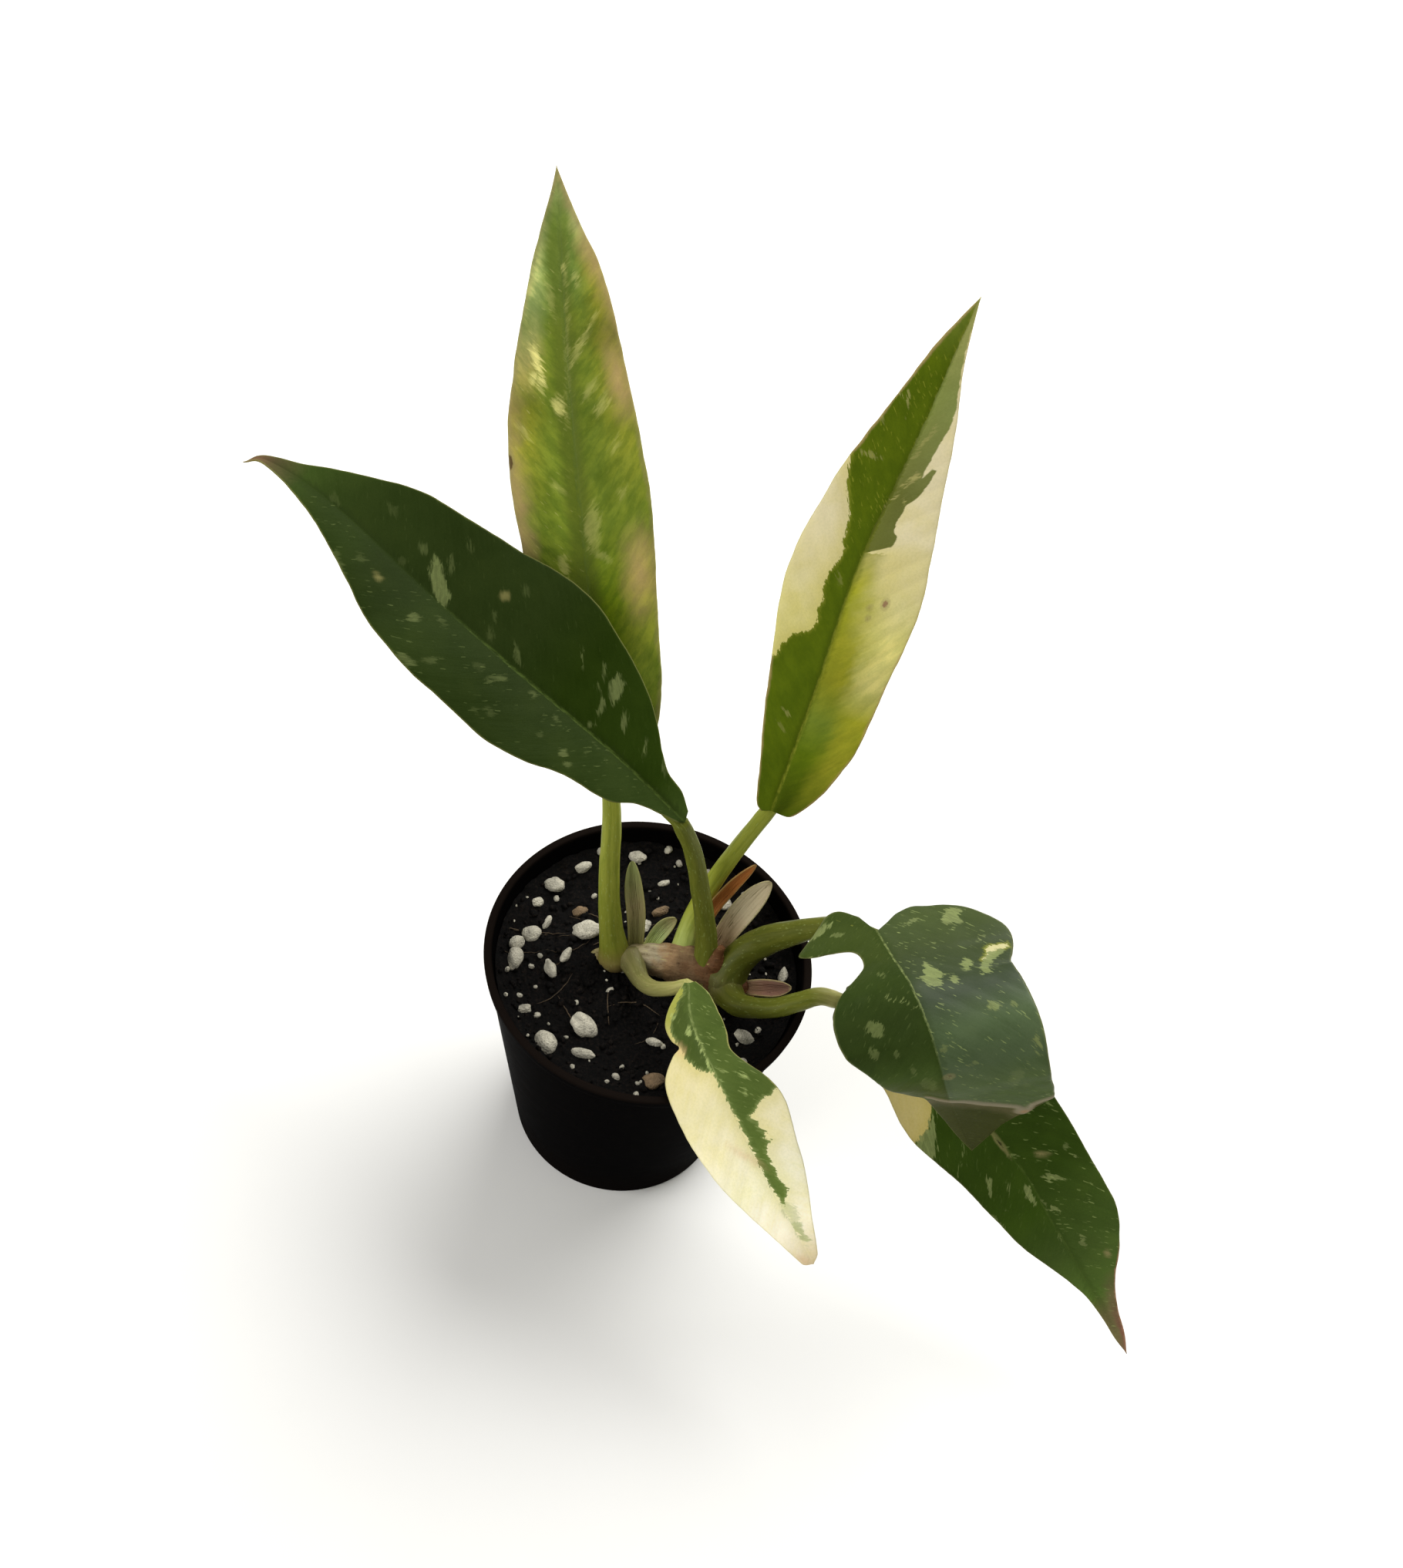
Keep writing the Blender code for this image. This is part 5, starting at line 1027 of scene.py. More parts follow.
class Bench:
    """The nodes of one material, painted with the plant's palette."""

    def __init__(self, name, colours):
        self.colours = colours
        self.material = bpy.data.materials.new(name)
        self.material.use_nodes = True
        self.tree = self.material.node_tree
        self.tree.nodes.clear()

    def node(self, kind, settings=None, inputs=None, out=0):
        """Adds a node: first its settings, then the values or links of its sockets."""
        made = self.tree.nodes.new(kind)
        for label, value in (settings or {}).items():
            if label == "stops":
                self.set_stops(made.color_ramp, value)
            else:
                setattr(made, label, value)
        for label, value in (inputs or {}).items():
            if isinstance(value, Socket):
                self.tree.links.new(value.socket, made.inputs[label])
            else:
                made.inputs[label].default_value = value
        return Socket(self, made.outputs[out])

    def set_stops(self, ramp, stops):
        while len(ramp.elements) < len(stops):
            ramp.elements.new(1.0)
        for element, (position, colour) in zip(ramp.elements, stops):
            element.position = position
            element.color = (*colour, 1.0)

    def tone(self, name, gain=1.0):
        """A colour of the palette, brighter or darker by a gain."""
        return tuple(min(1.0, channel * gain) for channel in getattr(self.colours, name))

    def ramp(self, share, runs):
        """Palette colours along a share. A run is a colour's name, then its stops (position, gain)."""
        stops = [(position, self.tone(name, gain)) for name, *points in runs for position, gain in points]
        return self.node("ShaderNodeValToRGB", {"stops": stops}, {"Fac": share})

    def mix(self, share, first, second, mode="MIX"):
        """Second colour over the first, by the share."""
        first, second = ((*c, 1.0) if isinstance(c, tuple) else c for c in (first, second))
        settings = {"data_type": "RGBA", "blend_type": mode}
        return self.node("ShaderNodeMix", settings, {0: share, 6: first, 7: second}, out=2)

    def over(self, share, colour, name, gain=1.0):
        """A colour of the palette over the colour, by the share."""
        return self.mix(share, colour, self.tone(name, gain))

    def times(self, colour, gains):
        """The colour with each channel multiplied by its gain."""
        return self.mix(1.0, colour, gains, "MULTIPLY")

    def shaded(self, share, colour, gains):
        """The colour, and by the share the colour times the gains over it."""
        return self.mix(share, colour, self.times(colour, gains))

    def scaled(self, vector, scale):
        return self.node("ShaderNodeVectorMath", {"operation": "SCALE"}, {0: vector, "Scale": scale})

    def tinted(self, colour, share, rows):
        """The colour times a ramp of gains, each halved to fit the ramp and doubled again after it."""
        stops = [(position, tuple(gain / 2 for gain in gains)) for position, gains in rows]
        ramp = self.node("ShaderNodeValToRGB", {"stops": stops}, {"Fac": share})
        return self.times(colour, self.scaled(ramp, 2.0))

    def smooth(self, value, low, high):
        """0 at low, 1 at high, eased between them."""
        inputs = {"Value": value, "From Min": low, "From Max": high}
        return self.node("ShaderNodeMapRange", {"interpolation_type": "SMOOTHSTEP"}, inputs)

    def noise(self, place, scale, detail=3.0, roughness=0.6):
        inputs = {"Vector": place, "Scale": scale, "Detail": detail, "Roughness": roughness}
        return self.node("ShaderNodeTexNoise", {}, inputs)

    def wobble(self, place, scale):
        """Noise about 0 that mostly stays between -1 and 1."""
        return (self.noise(place, scale) - 0.5) * 4.0

    def split(self, vector, count=3):
        """The first numbers of a vector, each as a socket."""
        return [self.node("ShaderNodeSeparateXYZ", {}, {0: vector}, out=k) for k in range(count)]

    def cells(self, x, y, z):
        """Two random numbers, each the same all over a cell about 1 unit wide."""
        settings, inputs = {"feature": "F1"}, {"Vector": self.join(x, y, z), "Scale": 1.0}
        return self.split(self.node("ShaderNodeTexVoronoi", settings, inputs, out=1), 2)

    def parts(self, label):
        """The three numbers of one of the piece's attributes."""
        return self.split(self.node("ShaderNodeAttribute", {"attribute_name": label}, {}, out=1))

    def number(self, label):
        return self.node("ShaderNodeAttribute", {"attribute_name": label}, {}, out=2)

    def join(self, x, y, z):
        return self.node("ShaderNodeCombineXYZ", {}, {0: x, 1: y, 2: z})

    def place(self):
        """Object coordinates in millimetres."""
        return self.scaled(self.node("ShaderNodeTexCoord", {}, {}, out=3), 1000.0)

    def bump(self, height, distance, strength=1.0):
        inputs = {"Height": height, "Distance": distance, "Strength": strength}
        return self.node("ShaderNodeBump", {}, inputs)

    def finish(self, colour, roughness, normal=None, **uniform):
        """The surface: what varies goes to colour, roughness, normal and coat, the rest is set."""
        inputs = {"Base Color": colour, "Roughness": roughness}
        inputs.update({label.replace("_", " "): value for label, value in uniform.items()})
        if normal:
            inputs["Normal"] = normal
        surface = self.node("ShaderNodeBsdfPrincipled", {}, inputs)
        output = self.tree.nodes.new("ShaderNodeOutputMaterial")
        self.tree.links.new(surface.socket, output.inputs["Surface"])
        return self.material


def blade_material(name, colours, gloss):
    """Variegated blade. The ground runs from base to tip in a ramp on each side of the midrib, with
    another ramp for the margin half where the finish has one. Over it come mottling and clouds, a
    centre band and the margin, the cream with its fringe, tinted patches, blotches, flecks, scars,
    the midrib, the crease and the thin edge. All borders are made ragged by noise along the side
    veins; blotches and flecks are made of small cells stretched the same way. The underside is paler
    and duller, and the - half may have a thin film, which is a rough coat."""
    finish = {**USUAL_FINISH, **BLADE_FINISHES[name]}
    bench = Bench(name + "_blade", colours)
    smooth, over, join, wobble = bench.smooth, bench.over, bench.join, bench.wobble
    s, t, share = bench.parts("flat")
    p, q, to_edge = bench.parts("vein")
    cream, patch, crease = bench.parts("marks")
    blotch, bold, scar = bench.parts("spots")
    top = bench.number("top")
    plus = smooth(t, -0.25, 0.25)
    side = t.math("GREATER_THAN", t, 0.0) * 30.0
    flat = join(s, t, 0.0)
    broad = wobble(flat, 0.13)
    streaks = wobble(join(p * 1.3, q * 0.24, side), 0.8) * finish["streak"]
    fine = wobble(join(p * 3.2, q, side), 0.9)
    grain = wobble(flat, 2.2)
    chip, chip_tone = bench.cells(p * 2.3 + fine * 0.15, q * 0.95, side)
    speck, speck_tone = bench.cells(p * 4.0 + fine * 0.3, q * 1.6 + grain * 0.2, side + 7.0)
    shard, _ = bench.cells(p * 0.9, q * 0.4, side + 3.0)

    def side_ramp(label):
        inner = bench.ramp(share, finish["side_" + label])
        if "outer_" + label not in finish:
            return inner
        outward = smooth(q / (q + to_edge + 0.01) + streaks * 0.10 + broad * 0.12, 0.30, 0.75)
        return bench.mix(outward, inner, bench.ramp(share, finish["outer_" + label]))

    # Ground with its mottling and clouds; the side ramps carry painted light and shade as well as colour
    ground = bench.mix(plus, side_ramp("minus"), side_ramp("plus"))
    dark, light = finish["mottle"]
    mottle = smooth(streaks * 0.6 + broad * 0.7, -0.3, 0.7)
    ground = bench.shaded(mottle * dark, ground, (0.60, 0.68, 0.50))
    glow = smooth(streaks * 0.5 - broad * 0.8, -0.2, 0.9)
    ground = bench.shaded(glow * light, ground, (1.45, 1.32, 1.30))
    if "patchwork" in finish:
        clouds = wobble(join(p * 0.42, q * 0.34, side + 11.0), 1.0)
        lit = smooth(clouds + (shard - 0.5) * 0.35 + streaks * 0.25, -0.45, 0.45)
        darker, paler = bench.times(ground, (0.74, 0.82, 0.66)), bench.times(ground, (1.28, 1.22, 1.12))
        ground = bench.mix(finish["patchwork"], ground, bench.mix(lit, darker, paler))

    # Band along the midrib, and the margin
    *paint, width, strength = finish["centre"]
    near_rib = 1.0 - smooth(abs(t + 0.12 * width) + streaks * 0.9 + broad * 0.6, width * 0.3, width)
    near_rib = near_rib * (1.0 - smooth(share, 0.86, 0.98) * 0.8)
    ground = over(near_rib * strength, ground, *paint)
    *paint, width, strength = finish["margin"]
    rim = 1.0 - smooth(to_edge + streaks * width * 0.35 + broad * width * 0.4, width * 0.1, width)
    if "margin_run" in finish:
        rim = rim * smooth(share, *finish["margin_run"]) * (1.0 - plus)
    ground = over(rim * strength, ground, *paint)

    # Cream: warmer towards its middle, with a wash that fades in along the + side and a fringe
    ragged = cream + streaks * 0.25 + fine * 0.18 + (chip - 0.5) * 0.5
    fringe = smooth(ragged, -0.75, 0.0)
    full = smooth(ragged, -0.03, 0.10)
    cream_gain = finish["cream_gain"]
    warm = smooth(broad + streaks * 0.35, -0.6, 0.9)
    cream_tone = over(warm * 0.45, bench.tone("cream", cream_gain), "butter", 1.2 * cream_gain)
    inward = 1.0 - smooth(ragged + broad * 0.8, 0.0, 3.0)
    cream_tone = over(inward * 0.45, cream_tone, "butter", 1.05 * cream_gain)
    if "cream_run" in finish:
        cream_tone = bench.tinted(cream_tone, share, finish["cream_run"])
    wash = smooth(share + broad * 0.03 + streaks * 0.02, *finish["wash"]) * plus
    wash = wash * smooth(q + streaks * 0.5 + broad * 1.6, 0.6, 5.5)
    colour = bench.mix(wash, ground, cream_tone)
    paint, strength = finish["fringe"]
    colour = over(fringe * strength * (1.0 - wash), colour, paint)
    colour = bench.mix(full, colour, cream_tone)

    # Tinted patches; on leaf_domed the patch is painted shade on the tip beyond the fold
    paint, gain, strength = finish["patch"]
    blur = finish["patch_blur"]
    patched = smooth(patch + streaks * 0.30 + broad * 0.4 * blur, -blur, blur) * strength
    uneven = smooth(broad + streaks * 0.2, -0.5, 0.8) * 0.5
    patch_tone = over(uneven, bench.tone(paint, gain), paint, 0.78 * gain)
    if "patch_edge" in finish:
        inside = smooth(patch + broad * 0.8, 0.6, 3.2)
        patch_tone = over(0.7 - inside * 0.7, patch_tone, *finish["patch_edge"])
    if "patch_run" in finish:
        patch_tone = bench.tinted(patch_tone, share + chip * 0.02, finish["patch_run"])
    colour = bench.mix(patched, colour, patch_tone)

    # Blotches, flecks and scars
    paint, gain, strength = finish["blotch"]
    blur = finish["blotch_blur"]
    spotted = blotch + (chip - 0.5) * 0.62 + (shard - 0.5) * 0.45 + fine * 0.10
    uneven = smooth(chip_tone + (shard - 0.5) * 0.8, 0.1, 0.9) * 0.55
    spot_tone = over(uneven, bench.tone(paint, gain), paint, 0.62 * gain)
    colour = bench.mix(smooth(spotted, -blur, blur) * bold * strength, colour, spot_tone)
    paint, strength, threshold = finish["flecks"]
    least = threshold - smooth(broad + streaks * 0.2, 0.0, 1.1) * 0.05
    fleck = smooth(speck, least, least + 0.01) * (0.35 + 0.65 * speck_tone)
    free = (1.0 - full) * (1.0 - wash) * (1.0 - patched * 0.8)
    if "fleck_run" in finish:
        free = free * smooth(share, *finish["fleck_run"])
    colour = over(fleck * free * strength * (1.0 - plus * 0.8), colour, paint)
    colour = over(smooth(scar + grain * 0.10, -0.55, -0.1) * 0.35, colour, "tan", 0.9)
    colour = over(smooth(scar + grain * 0.12, -0.05, 0.25) * 0.8, colour, *finish["scar"])

    # Midrib, crease and edge
    *paint, width, start, stop, strength = finish["rib"]
    line = 1.0 - smooth(abs(t) + grain * 0.10, width * 0.35, width * 1.25)
    broken = smooth(wobble(join(s * 0.5, t * 1.6, 3.0), 1.0), -0.7, 0.6)
    faded = smooth(share, start - 0.05, start + 0.05) * (1.0 - smooth(share, stop - 0.12, stop + 0.1))
    colour = over(line * broken * faded * strength, colour, *paint)
    fold_tone = over(smooth(crease, -0.2, 0.5), bench.tone("beige", 0.72), "pink", 0.72)
    folded = smooth(crease + grain * 0.10 + broad * 0.15, -1.1, -0.2)
    colour = bench.mix(folded * 0.85, colour, fold_tone)
    colour = over((1.0 - smooth(to_edge, 0.05, 0.30)) * 0.30, colour, "butter", 0.5 * cream_gain)
    colour = bench.shaded(smooth(grain, -0.5, 0.7) * 0.4, colour, (0.84, 0.86, 0.80))

    under = over(0.35, bench.times(colour, (1.25, 1.25, 1.2)), "sage", 1.15)
    colour = bench.mix(top, under, colour)
    roughness = gloss + grain * 0.04 + (1.0 - top) * 0.18 + full * 0.05
    normal = bench.bump(grain * 0.06 + fine * 0.07 + streaks * 0.10 - line * 0.3, 0.12 * MM, 0.8)
    uniform = {"Specular_IOR_Level": finish["specular"]}
    if finish["film"]:
        uniform["Coat_Weight"] = (1.0 - plus * 0.9) * (1.0 - patched) * top * finish["film"]
        uniform["Coat_Roughness"] = 0.42
    return bench.finish(colour, roughness, normal, **uniform)


def stalk_material(name, colours, gloss):
    """Stalk: colours from foot to tip, long fine streaks, pale dashes and a brown foot."""
    bench = Bench(name + "_stalk", colours)
    smooth, over = bench.smooth, bench.over
    run, turn, share = bench.parts("run")
    around = turn * TAU
    streaks = bench.noise(bench.join(around.cosine() * 2.0, around.sine() * 2.0, run * 0.12), 1.6)
    dashes = bench.noise(bench.join(around.cosine() * 6.0, around.sine() * 6.0, run * 0.9), 1.0, 2.0)
    grain = bench.noise(bench.place(), 3.0)
    colour = bench.ramp(share, STALK_FINISHES[name])
    colour = bench.shaded(smooth(streaks, 0.38, 0.66) * 0.55, colour, (0.62, 0.70, 0.50))
    colour = over(smooth(dashes, 0.60, 0.72) * 0.35, colour, "pale")
    foot = 1.0 - smooth(run + (streaks - 0.5) * 4.0, 2.5, 7.0)
    colour = over(foot * 0.45, colour, "tan", 0.55)
    roughness = gloss + 0.03 + (grain - 0.5) * 0.16
    normal = bench.bump(streaks * 0.6 + grain * 0.3, 0.12 * MM, 0.8)
    return bench.finish(colour, roughness, normal, Specular_IOR_Level=0.10)


def sheath_material(name, colours):
    """Dry or fleshy bud sheath: long ridges, a browned foot and blotches, and a paler rim."""
    bench = Bench(name, colours)
    smooth, over = bench.smooth, bench.over
    u, v, _ = bench.parts("run")
    fibres = bench.noise(bench.join(v * 7.0, u * 1.1, 0.5), 1.6)
    grain = bench.noise(bench.place(), 2.2)
    colour = bench.ramp(u, SHEATH_FINISHES[name])
    colour = bench.shaded(smooth(fibres, 0.46, 0.70) * 0.45, colour, (0.52, 0.47, 0.42))
    rim = smooth(abs(v) + (grain - 0.5) * 0.3, 0.80, 1.0) + smooth(u, 0.9, 1.0) * 0.7
    colour = over(smooth(rim, 0.0, 1.0) * 0.5, colour, "butter", 0.55)
    colour = over((1.0 - smooth(u + (grain - 0.5) * 0.3, 0.0, 0.3)) * 0.35, colour, "brown")
    colour = over(smooth(grain, 0.60, 0.74) * 0.25, colour, "brown", 1.2)
    normal = bench.bump(fibres * 0.7 + grain * 0.4, 0.20 * MM, 0.9)
    return bench.finish(colour, 0.55 + (grain - 0.5) * 0.2, normal, Specular_IOR_Level=0.35)


def crown_material(colours):
    """Corky crown: cream-olive at its older end, then pinkish tan, then brown, with long soft
    streaks, paler scars, and dark brown specks."""
    bench = Bench("crown", colours)
    smooth, over = bench.smooth, bench.over
    place = bench.place()
    x, y, z = bench.split(place)
    broad = bench.wobble(place, 0.22)
    grain = bench.noise(place, 1.6, 4.0, 0.65)
    streaks = bench.noise(bench.join(x * 0.22, y, z), 1.1, 4.0, 0.65)
    colour = bench.ramp(smooth(x + broad * 3.0, -9.0, 15.0), CROWN_FINISH)
    colour = bench.shaded(smooth(streaks, 0.40, 0.62) * 0.42, colour, (0.50, 0.44, 0.34))
    colour = over((1.0 - smooth(streaks, 0.28, 0.42)) * 0.5, colour, "butter", 0.75)
    colour = over(smooth(grain + streaks * 0.5, 0.84, 1.0) * 0.6, colour, "brown", 0.22)
    normal = bench.bump(grain * 0.6 + streaks * 0.8, 0.35 * MM)
    return bench.finish(colour, 0.62 + (grain - 0.5) * 0.3, normal, Specular_IOR_Level=0.12)


def soil_material(colours, name="soil", light=1.0):
    """Moist peat: near black, with brown crumbs and small pale specks."""
    bench = Bench(name, colours)
    smooth, over = bench.smooth, bench.over
    place = bench.place()
    broad = bench.noise(place, 0.22, 3.0, 0.5)
    grain = bench.noise(place, 1.6, 5.0, 0.7)
    fine = bench.noise(place, 5.0, 4.0, 0.7)
    colour = bench.ramp(grain, (("soil_black", (0.28, 0.5 * light), (0.50, light)),
                                ("soil_brown", (0.64, light), (0.80, 1.7 * light))))
    colour = over(smooth(broad, 0.40, 0.62) * 0.5, colour, "soil_black", 0.8 * light)
    colour = over(smooth(fine, 0.68, 0.76) * 0.35, colour, "tan", 0.30)
    normal = bench.bump(grain * 0.6 + fine * 0.5, 0.4 * MM)
    return bench.finish(colour, 0.72 + (fine - 0.5) * 0.5, normal, Specular_IOR_Level=0.06)


def granule_material(colours, name, base, gain):
    """Porous granule: cloudy, with pits darkened as painted shade, and smears of soil."""
    bench = Bench(name, colours)
    smooth, over = bench.smooth, bench.over
    place = bench.place()
    broad = bench.noise(place, 0.45, 3.0, 0.5)
    pits = bench.node("ShaderNodeTexVoronoi", {"feature": "F1"}, {"Vector": place, "Scale": 2.6})
    grain = bench.noise(place, 3.0, 4.0, 0.7)
    colour = bench.ramp(broad, ((base, (0.3, 0.55 * gain), (0.55, gain), (0.75, 1.15 * gain)),))
    # Painted shade: the pits are darker copies of the granule's own colour
    colour = over((1.0 - smooth(pits, 0.10, 0.32)) * 0.45, colour, base, 0.35)
    colour = over(smooth(grain, 0.55, 0.70) * 0.55, colour, "soil_brown", 2.2)
    normal = bench.bump(grain * 0.5 + pits * 0.6, 0.35 * MM)
    return bench.finish(colour, 0.8 + (grain - 0.5) * 0.2, normal, Specular_IOR_Level=0.3)


def pot_material(colours):
    """Moulded black plastic, made darker by painted shade: faint scuffs that run round it, and soil near the
    foot and on the rim.
    """
    bench = Bench("pot", colours)
    smooth, over = bench.smooth, bench.over
    place = bench.place()
    x, y, z = bench.split(place)
    scuffs = bench.noise(bench.join(x * 0.12, y * 0.12, z * 1.4), 1.4, 4.0)
    grain = bench.noise(place, 4.0)
    dust = bench.noise(place, 0.35, 4.0, 0.65)
    low = 1.0 - smooth(z + dust * 14.0, 6.0, 22.0)
    # The pot's black is darker than black plastic is: its own black with painted shade in it
    colour = over(smooth(scuffs, 0.5, 0.72) * 0.5, bench.tone("pot_black_and_shade"), "pot_black_and_shade", 1.8)
    colour = over(smooth(dust, 0.55, 0.72) * 0.18, colour, "soil_brown", 0.7)
    colour = over(low * 0.22, colour, "soil_brown")
    colour = over(smooth(z, 59.0, 60.0) * 0.6, colour, "soil_brown", 0.9)
    roughness = 0.42 + (scuffs - 0.5) * 0.35 + (grain - 0.5) * 0.1 + low * 0.15
    normal = bench.bump(grain * 0.4 + scuffs * 0.2, 0.10 * MM, 0.6)
    return bench.finish(colour, roughness, normal, Specular_IOR_Level=0.0006)


def floor_material(colours):
    """Pale matt floor with a barely seen cloudiness."""
    bench = Bench("floor", colours)
    cloud = bench.noise(bench.place(), 0.02, 3.0, 0.5)
    colour = bench.over(cloud, bench.tone("floor"), "floor", 0.97)
    return bench.finish(colour, 0.8 + (cloud - 0.5) * 0.1, None, Specular_IOR_Level=0.2)


def pigment(label, words, *srgb):
    """A colour of the palette, given by its sRGB channels of 0 to 255."""
    return FloatVectorProperty(name=label, description=words, default=linear(*srgb), subtype="COLOR",
                               size=3, min=0.0, max=1.0)


class PlantColours(PropertyGroup):
    """The palette that all finishes share."""

    deep: pigment("Deep green", "Darkest blade green", 40, 56, 12)
    green: pigment("Green", "Dark blade green", 62, 79, 32)
    moss: pigment("Moss", "Middle green of the variegated blades", 84, 101, 14)
    sage: pigment("Sage", "Duller green with more blue in it", 84, 101, 44)
    # Painted sheen: a bluish green that stands in for the reflection on leaf_domed's - half
    slate: pigment("Slate green", "Bluish green of the folded blade", 84, 101, 66)
    olive: pigment("Olive", "Yellow-green of the mottled blade", 104, 119, 38)
    lime: pigment("Lime", "Yellow-green where green meets cream", 144, 147, 48)
    citron: pigment("Citron", "Yellow-green wash at the foot of a cream half", 154, 154, 42)
    butter: pigment("Butter", "Yellowish cream", 208, 200, 122)
    cream: pigment("Cream", "Cream areas of the blades", 240, 233, 192)
    pale: pigment("Pale green", "Blotches and flecks", 156, 169, 102)
    grey_green: pigment("Grey-green", "Dull green of patches", 116, 122, 56)
    # Painted shade: the dark brown-green of leaf_domed's tip beyond the fold; also a dark scar colour on
    # leaf_drooping
    umber: pigment("Umber", "Shaded brown-green beyond the fold", 64, 67, 14)
    tan: pigment("Tan", "Tips, margins and old tissue", 150, 138, 92)
    pink: pigment("Pink", "Blushed margins", 178, 144, 104)
    brown: pigment("Brown", "Dried sheath and scars", 98, 62, 34)
    rust: pigment("Rust", "Dried bud sheath", 122, 74, 30)
    beige: pigment("Beige", "Papery bud sheath", 158, 146, 118)
    rose: pigment("Rose", "Blushed bud sheath", 134, 96, 76)
    stalk: pigment("Stalk green", "Stalks of the mottled and the cream leaves", 104, 108, 36)
    soil_black: pigment("Moist peat", "Dark ground of the soil", 9, 8, 7)
    soil_brown: pigment("Peat crumbs", "Brown crumbs in the soil", 27, 21, 17)
    mineral: pigment("Mineral", "Off-white granules", 196, 190, 170)
    bark: pigment("Bark", "Tan bits of bark", 128, 106, 78)
    # Painted shade: darker than black plastic is, for the shade on the pot
    pot_black_and_shade: pigment("Pot black", "Black plastic", 5, 4, 4)
    floor: pigment("Floor", "Pale studio floor", 236, 235, 231)


class PlantSizes(PropertyGroup):
    """Sizes and counts of the small detail, and how glossy the blades are."""

    blade_gloss: FloatProperty(name="Blade roughness", description="Higher is duller", default=0.40,
                               min=0.1, max=0.9, subtype="FACTOR")
    crumb_count: IntProperty(name="Crumbs", description="Small crumbs of soil", default=760, min=0, max=1500)
    small_granules: IntProperty(name="Small granules", description="Mineral granules scattered besides"
                                " the large ones", default=110, min=0, max=300)
    fibre_count: IntProperty(name="Fibres", description="Rootlets and fibres on the soil", default=22,
                             min=0, max=200)
    fibre_radius: FloatProperty(name="Fibre radius", description="Half the thickness of a fibre",
                                default=0.00011, min=0.00005, max=0.0005, precision=5,
                                subtype="DISTANCE", unit="LENGTH")
    pot_sides: IntProperty(name="Pot sides", description="Sides of the turned pot", default=160,
                           min=48, max=256)


class StudioSettings(PropertyGroup):
    """Light of the studio and the lens of the camera."""

    sky_light: FloatProperty(name="Room light", description="Even light from all around", default=0.38,
                             min=0.0, max=3.0)
    window_power: FloatProperty(name="Window light", description="Large soft light behind the plant",
                                default=15.0, min=0.0, max=100.0, unit="POWER")
    fill_power: FloatProperty(name="Front light", description="Large soft light on the camera's side",
                              default=7.0, min=0.0, max=100.0, unit="POWER")
    lens: FloatProperty(name="Lens", description="Focal length", default=42.0, min=20.0, max=120.0,
                        subtype="DISTANCE_CAMERA", unit="CAMERA")


class PHILODENDRON_OT_leaves(Operator):
    """Builds the six blades and their stalks"""

    bl_idname = "philodendron.leaves"
    bl_label = "Leaves"

    def execute(self, context):
        colours, gloss = context.scene.plant_colours, context.scene.plant_sizes.blade_gloss
        for leaf in LEAVES:
            name = leaf["name"]
            for part, build, finish in (("blade", blade, blade_material), ("stalk", stalk, stalk_material)):
                points, faces, attributes = build(leaf)
                material = finish(name, colours, gloss)
                add_piece(f"{name}_{part}", points, faces, material, name, attributes)
        return {"FINISHED"}


class PHILODENDRON_OT_sheaths(Operator):
    """Builds the five bud sheaths round the crown"""

    bl_idname = "philodendron.sheaths"
    bl_label = "Sheaths"

    def execute(self, context):
        for shape_of in SHEATHS:
            name = shape_of["name"]
            points, faces, attributes = sheath(shape_of)
            material = sheath_material(name, context.scene.plant_colours)
            add_piece(name + "_scale", points, faces, material, name, attributes)
        return {"FINISHED"}


def settled(piece):
    """Applies a piece's modifiers to its mesh."""
    context = bpy.context
    worked = bpy.data.meshes.new_from_object(piece.evaluated_get(context.evaluated_depsgraph_get()))
    piece.modifiers.clear()
    piece.data = worked
    worked.shade_smooth()


def vectors(items, label):
    """One vector of each item of a mesh, as rows."""
    numbers = np.zeros(3 * len(items))
    items.foreach_get(label, numbers)
    return numbers.reshape(-1, 3)


def knobbly(piece):
    """Moves each point along its normal by noise, and by rings that are -cos^8 of its place along x."""
    mesh = piece.data
    points = vectors(mesh.vertices, "co")
    rings = -0.05 * np.cos(points[:, 0] / MM * 0.75 + 1.5 * lattice_noise(points, 6 * MM, 41)) ** 8
    push = (0.32 * lattice_noise(points, 3.2 * MM, 42) + 0.14 * lattice_noise(points, 1.3 * MM, 43)
            + 0.05 * lattice_noise(points, 0.6 * MM, 44) + rings - 0.15) * MM
    points += vectors(mesh.vertex_normals, "vector") * push[:, None]
    mesh.vertices.foreach_set("co", points.ravel())
    mesh.update()


class PHILODENDRON_OT_crown(Operator):
    """Builds the lying crown, its growing tip and its root as one body"""

    bl_idname = "philodendron.crown"
    bl_label = "Crown"

    def execute(self, context):
        points, faces, start = [], [], 0
        share = np.linspace(0, 1, SPINE_STEPS)
        for route, radii in CROWN_LIMBS:
            radius = np.interp(share, np.linspace(0, 1, len(radii)), radii) * MM
            way = smooth_rows(route, SPINE_STEPS) * MM
            grid, quads, _ = tube(way, radius, np.array((0.1, 1.0, 0.3)), LIMB_SIDES)
            points.append(grid.reshape(-1, 3))
            faces.append(quads + start)
            start += len(points[-1])
        material = crown_material(context.scene.plant_colours)
        crown = add_piece("stem_crown", np.vstack(points), np.vstack(faces), material, "stem")
        fuse = crown.modifiers.new("fuse", "REMESH")
        fuse.mode = "VOXEL"
        fuse.voxel_size = CROWN_VOXEL
        even = crown.modifiers.new("even", "SMOOTH")
        even.iterations = 3
        settled(crown)
        knobbly(crown)
        return {"FINISHED"}


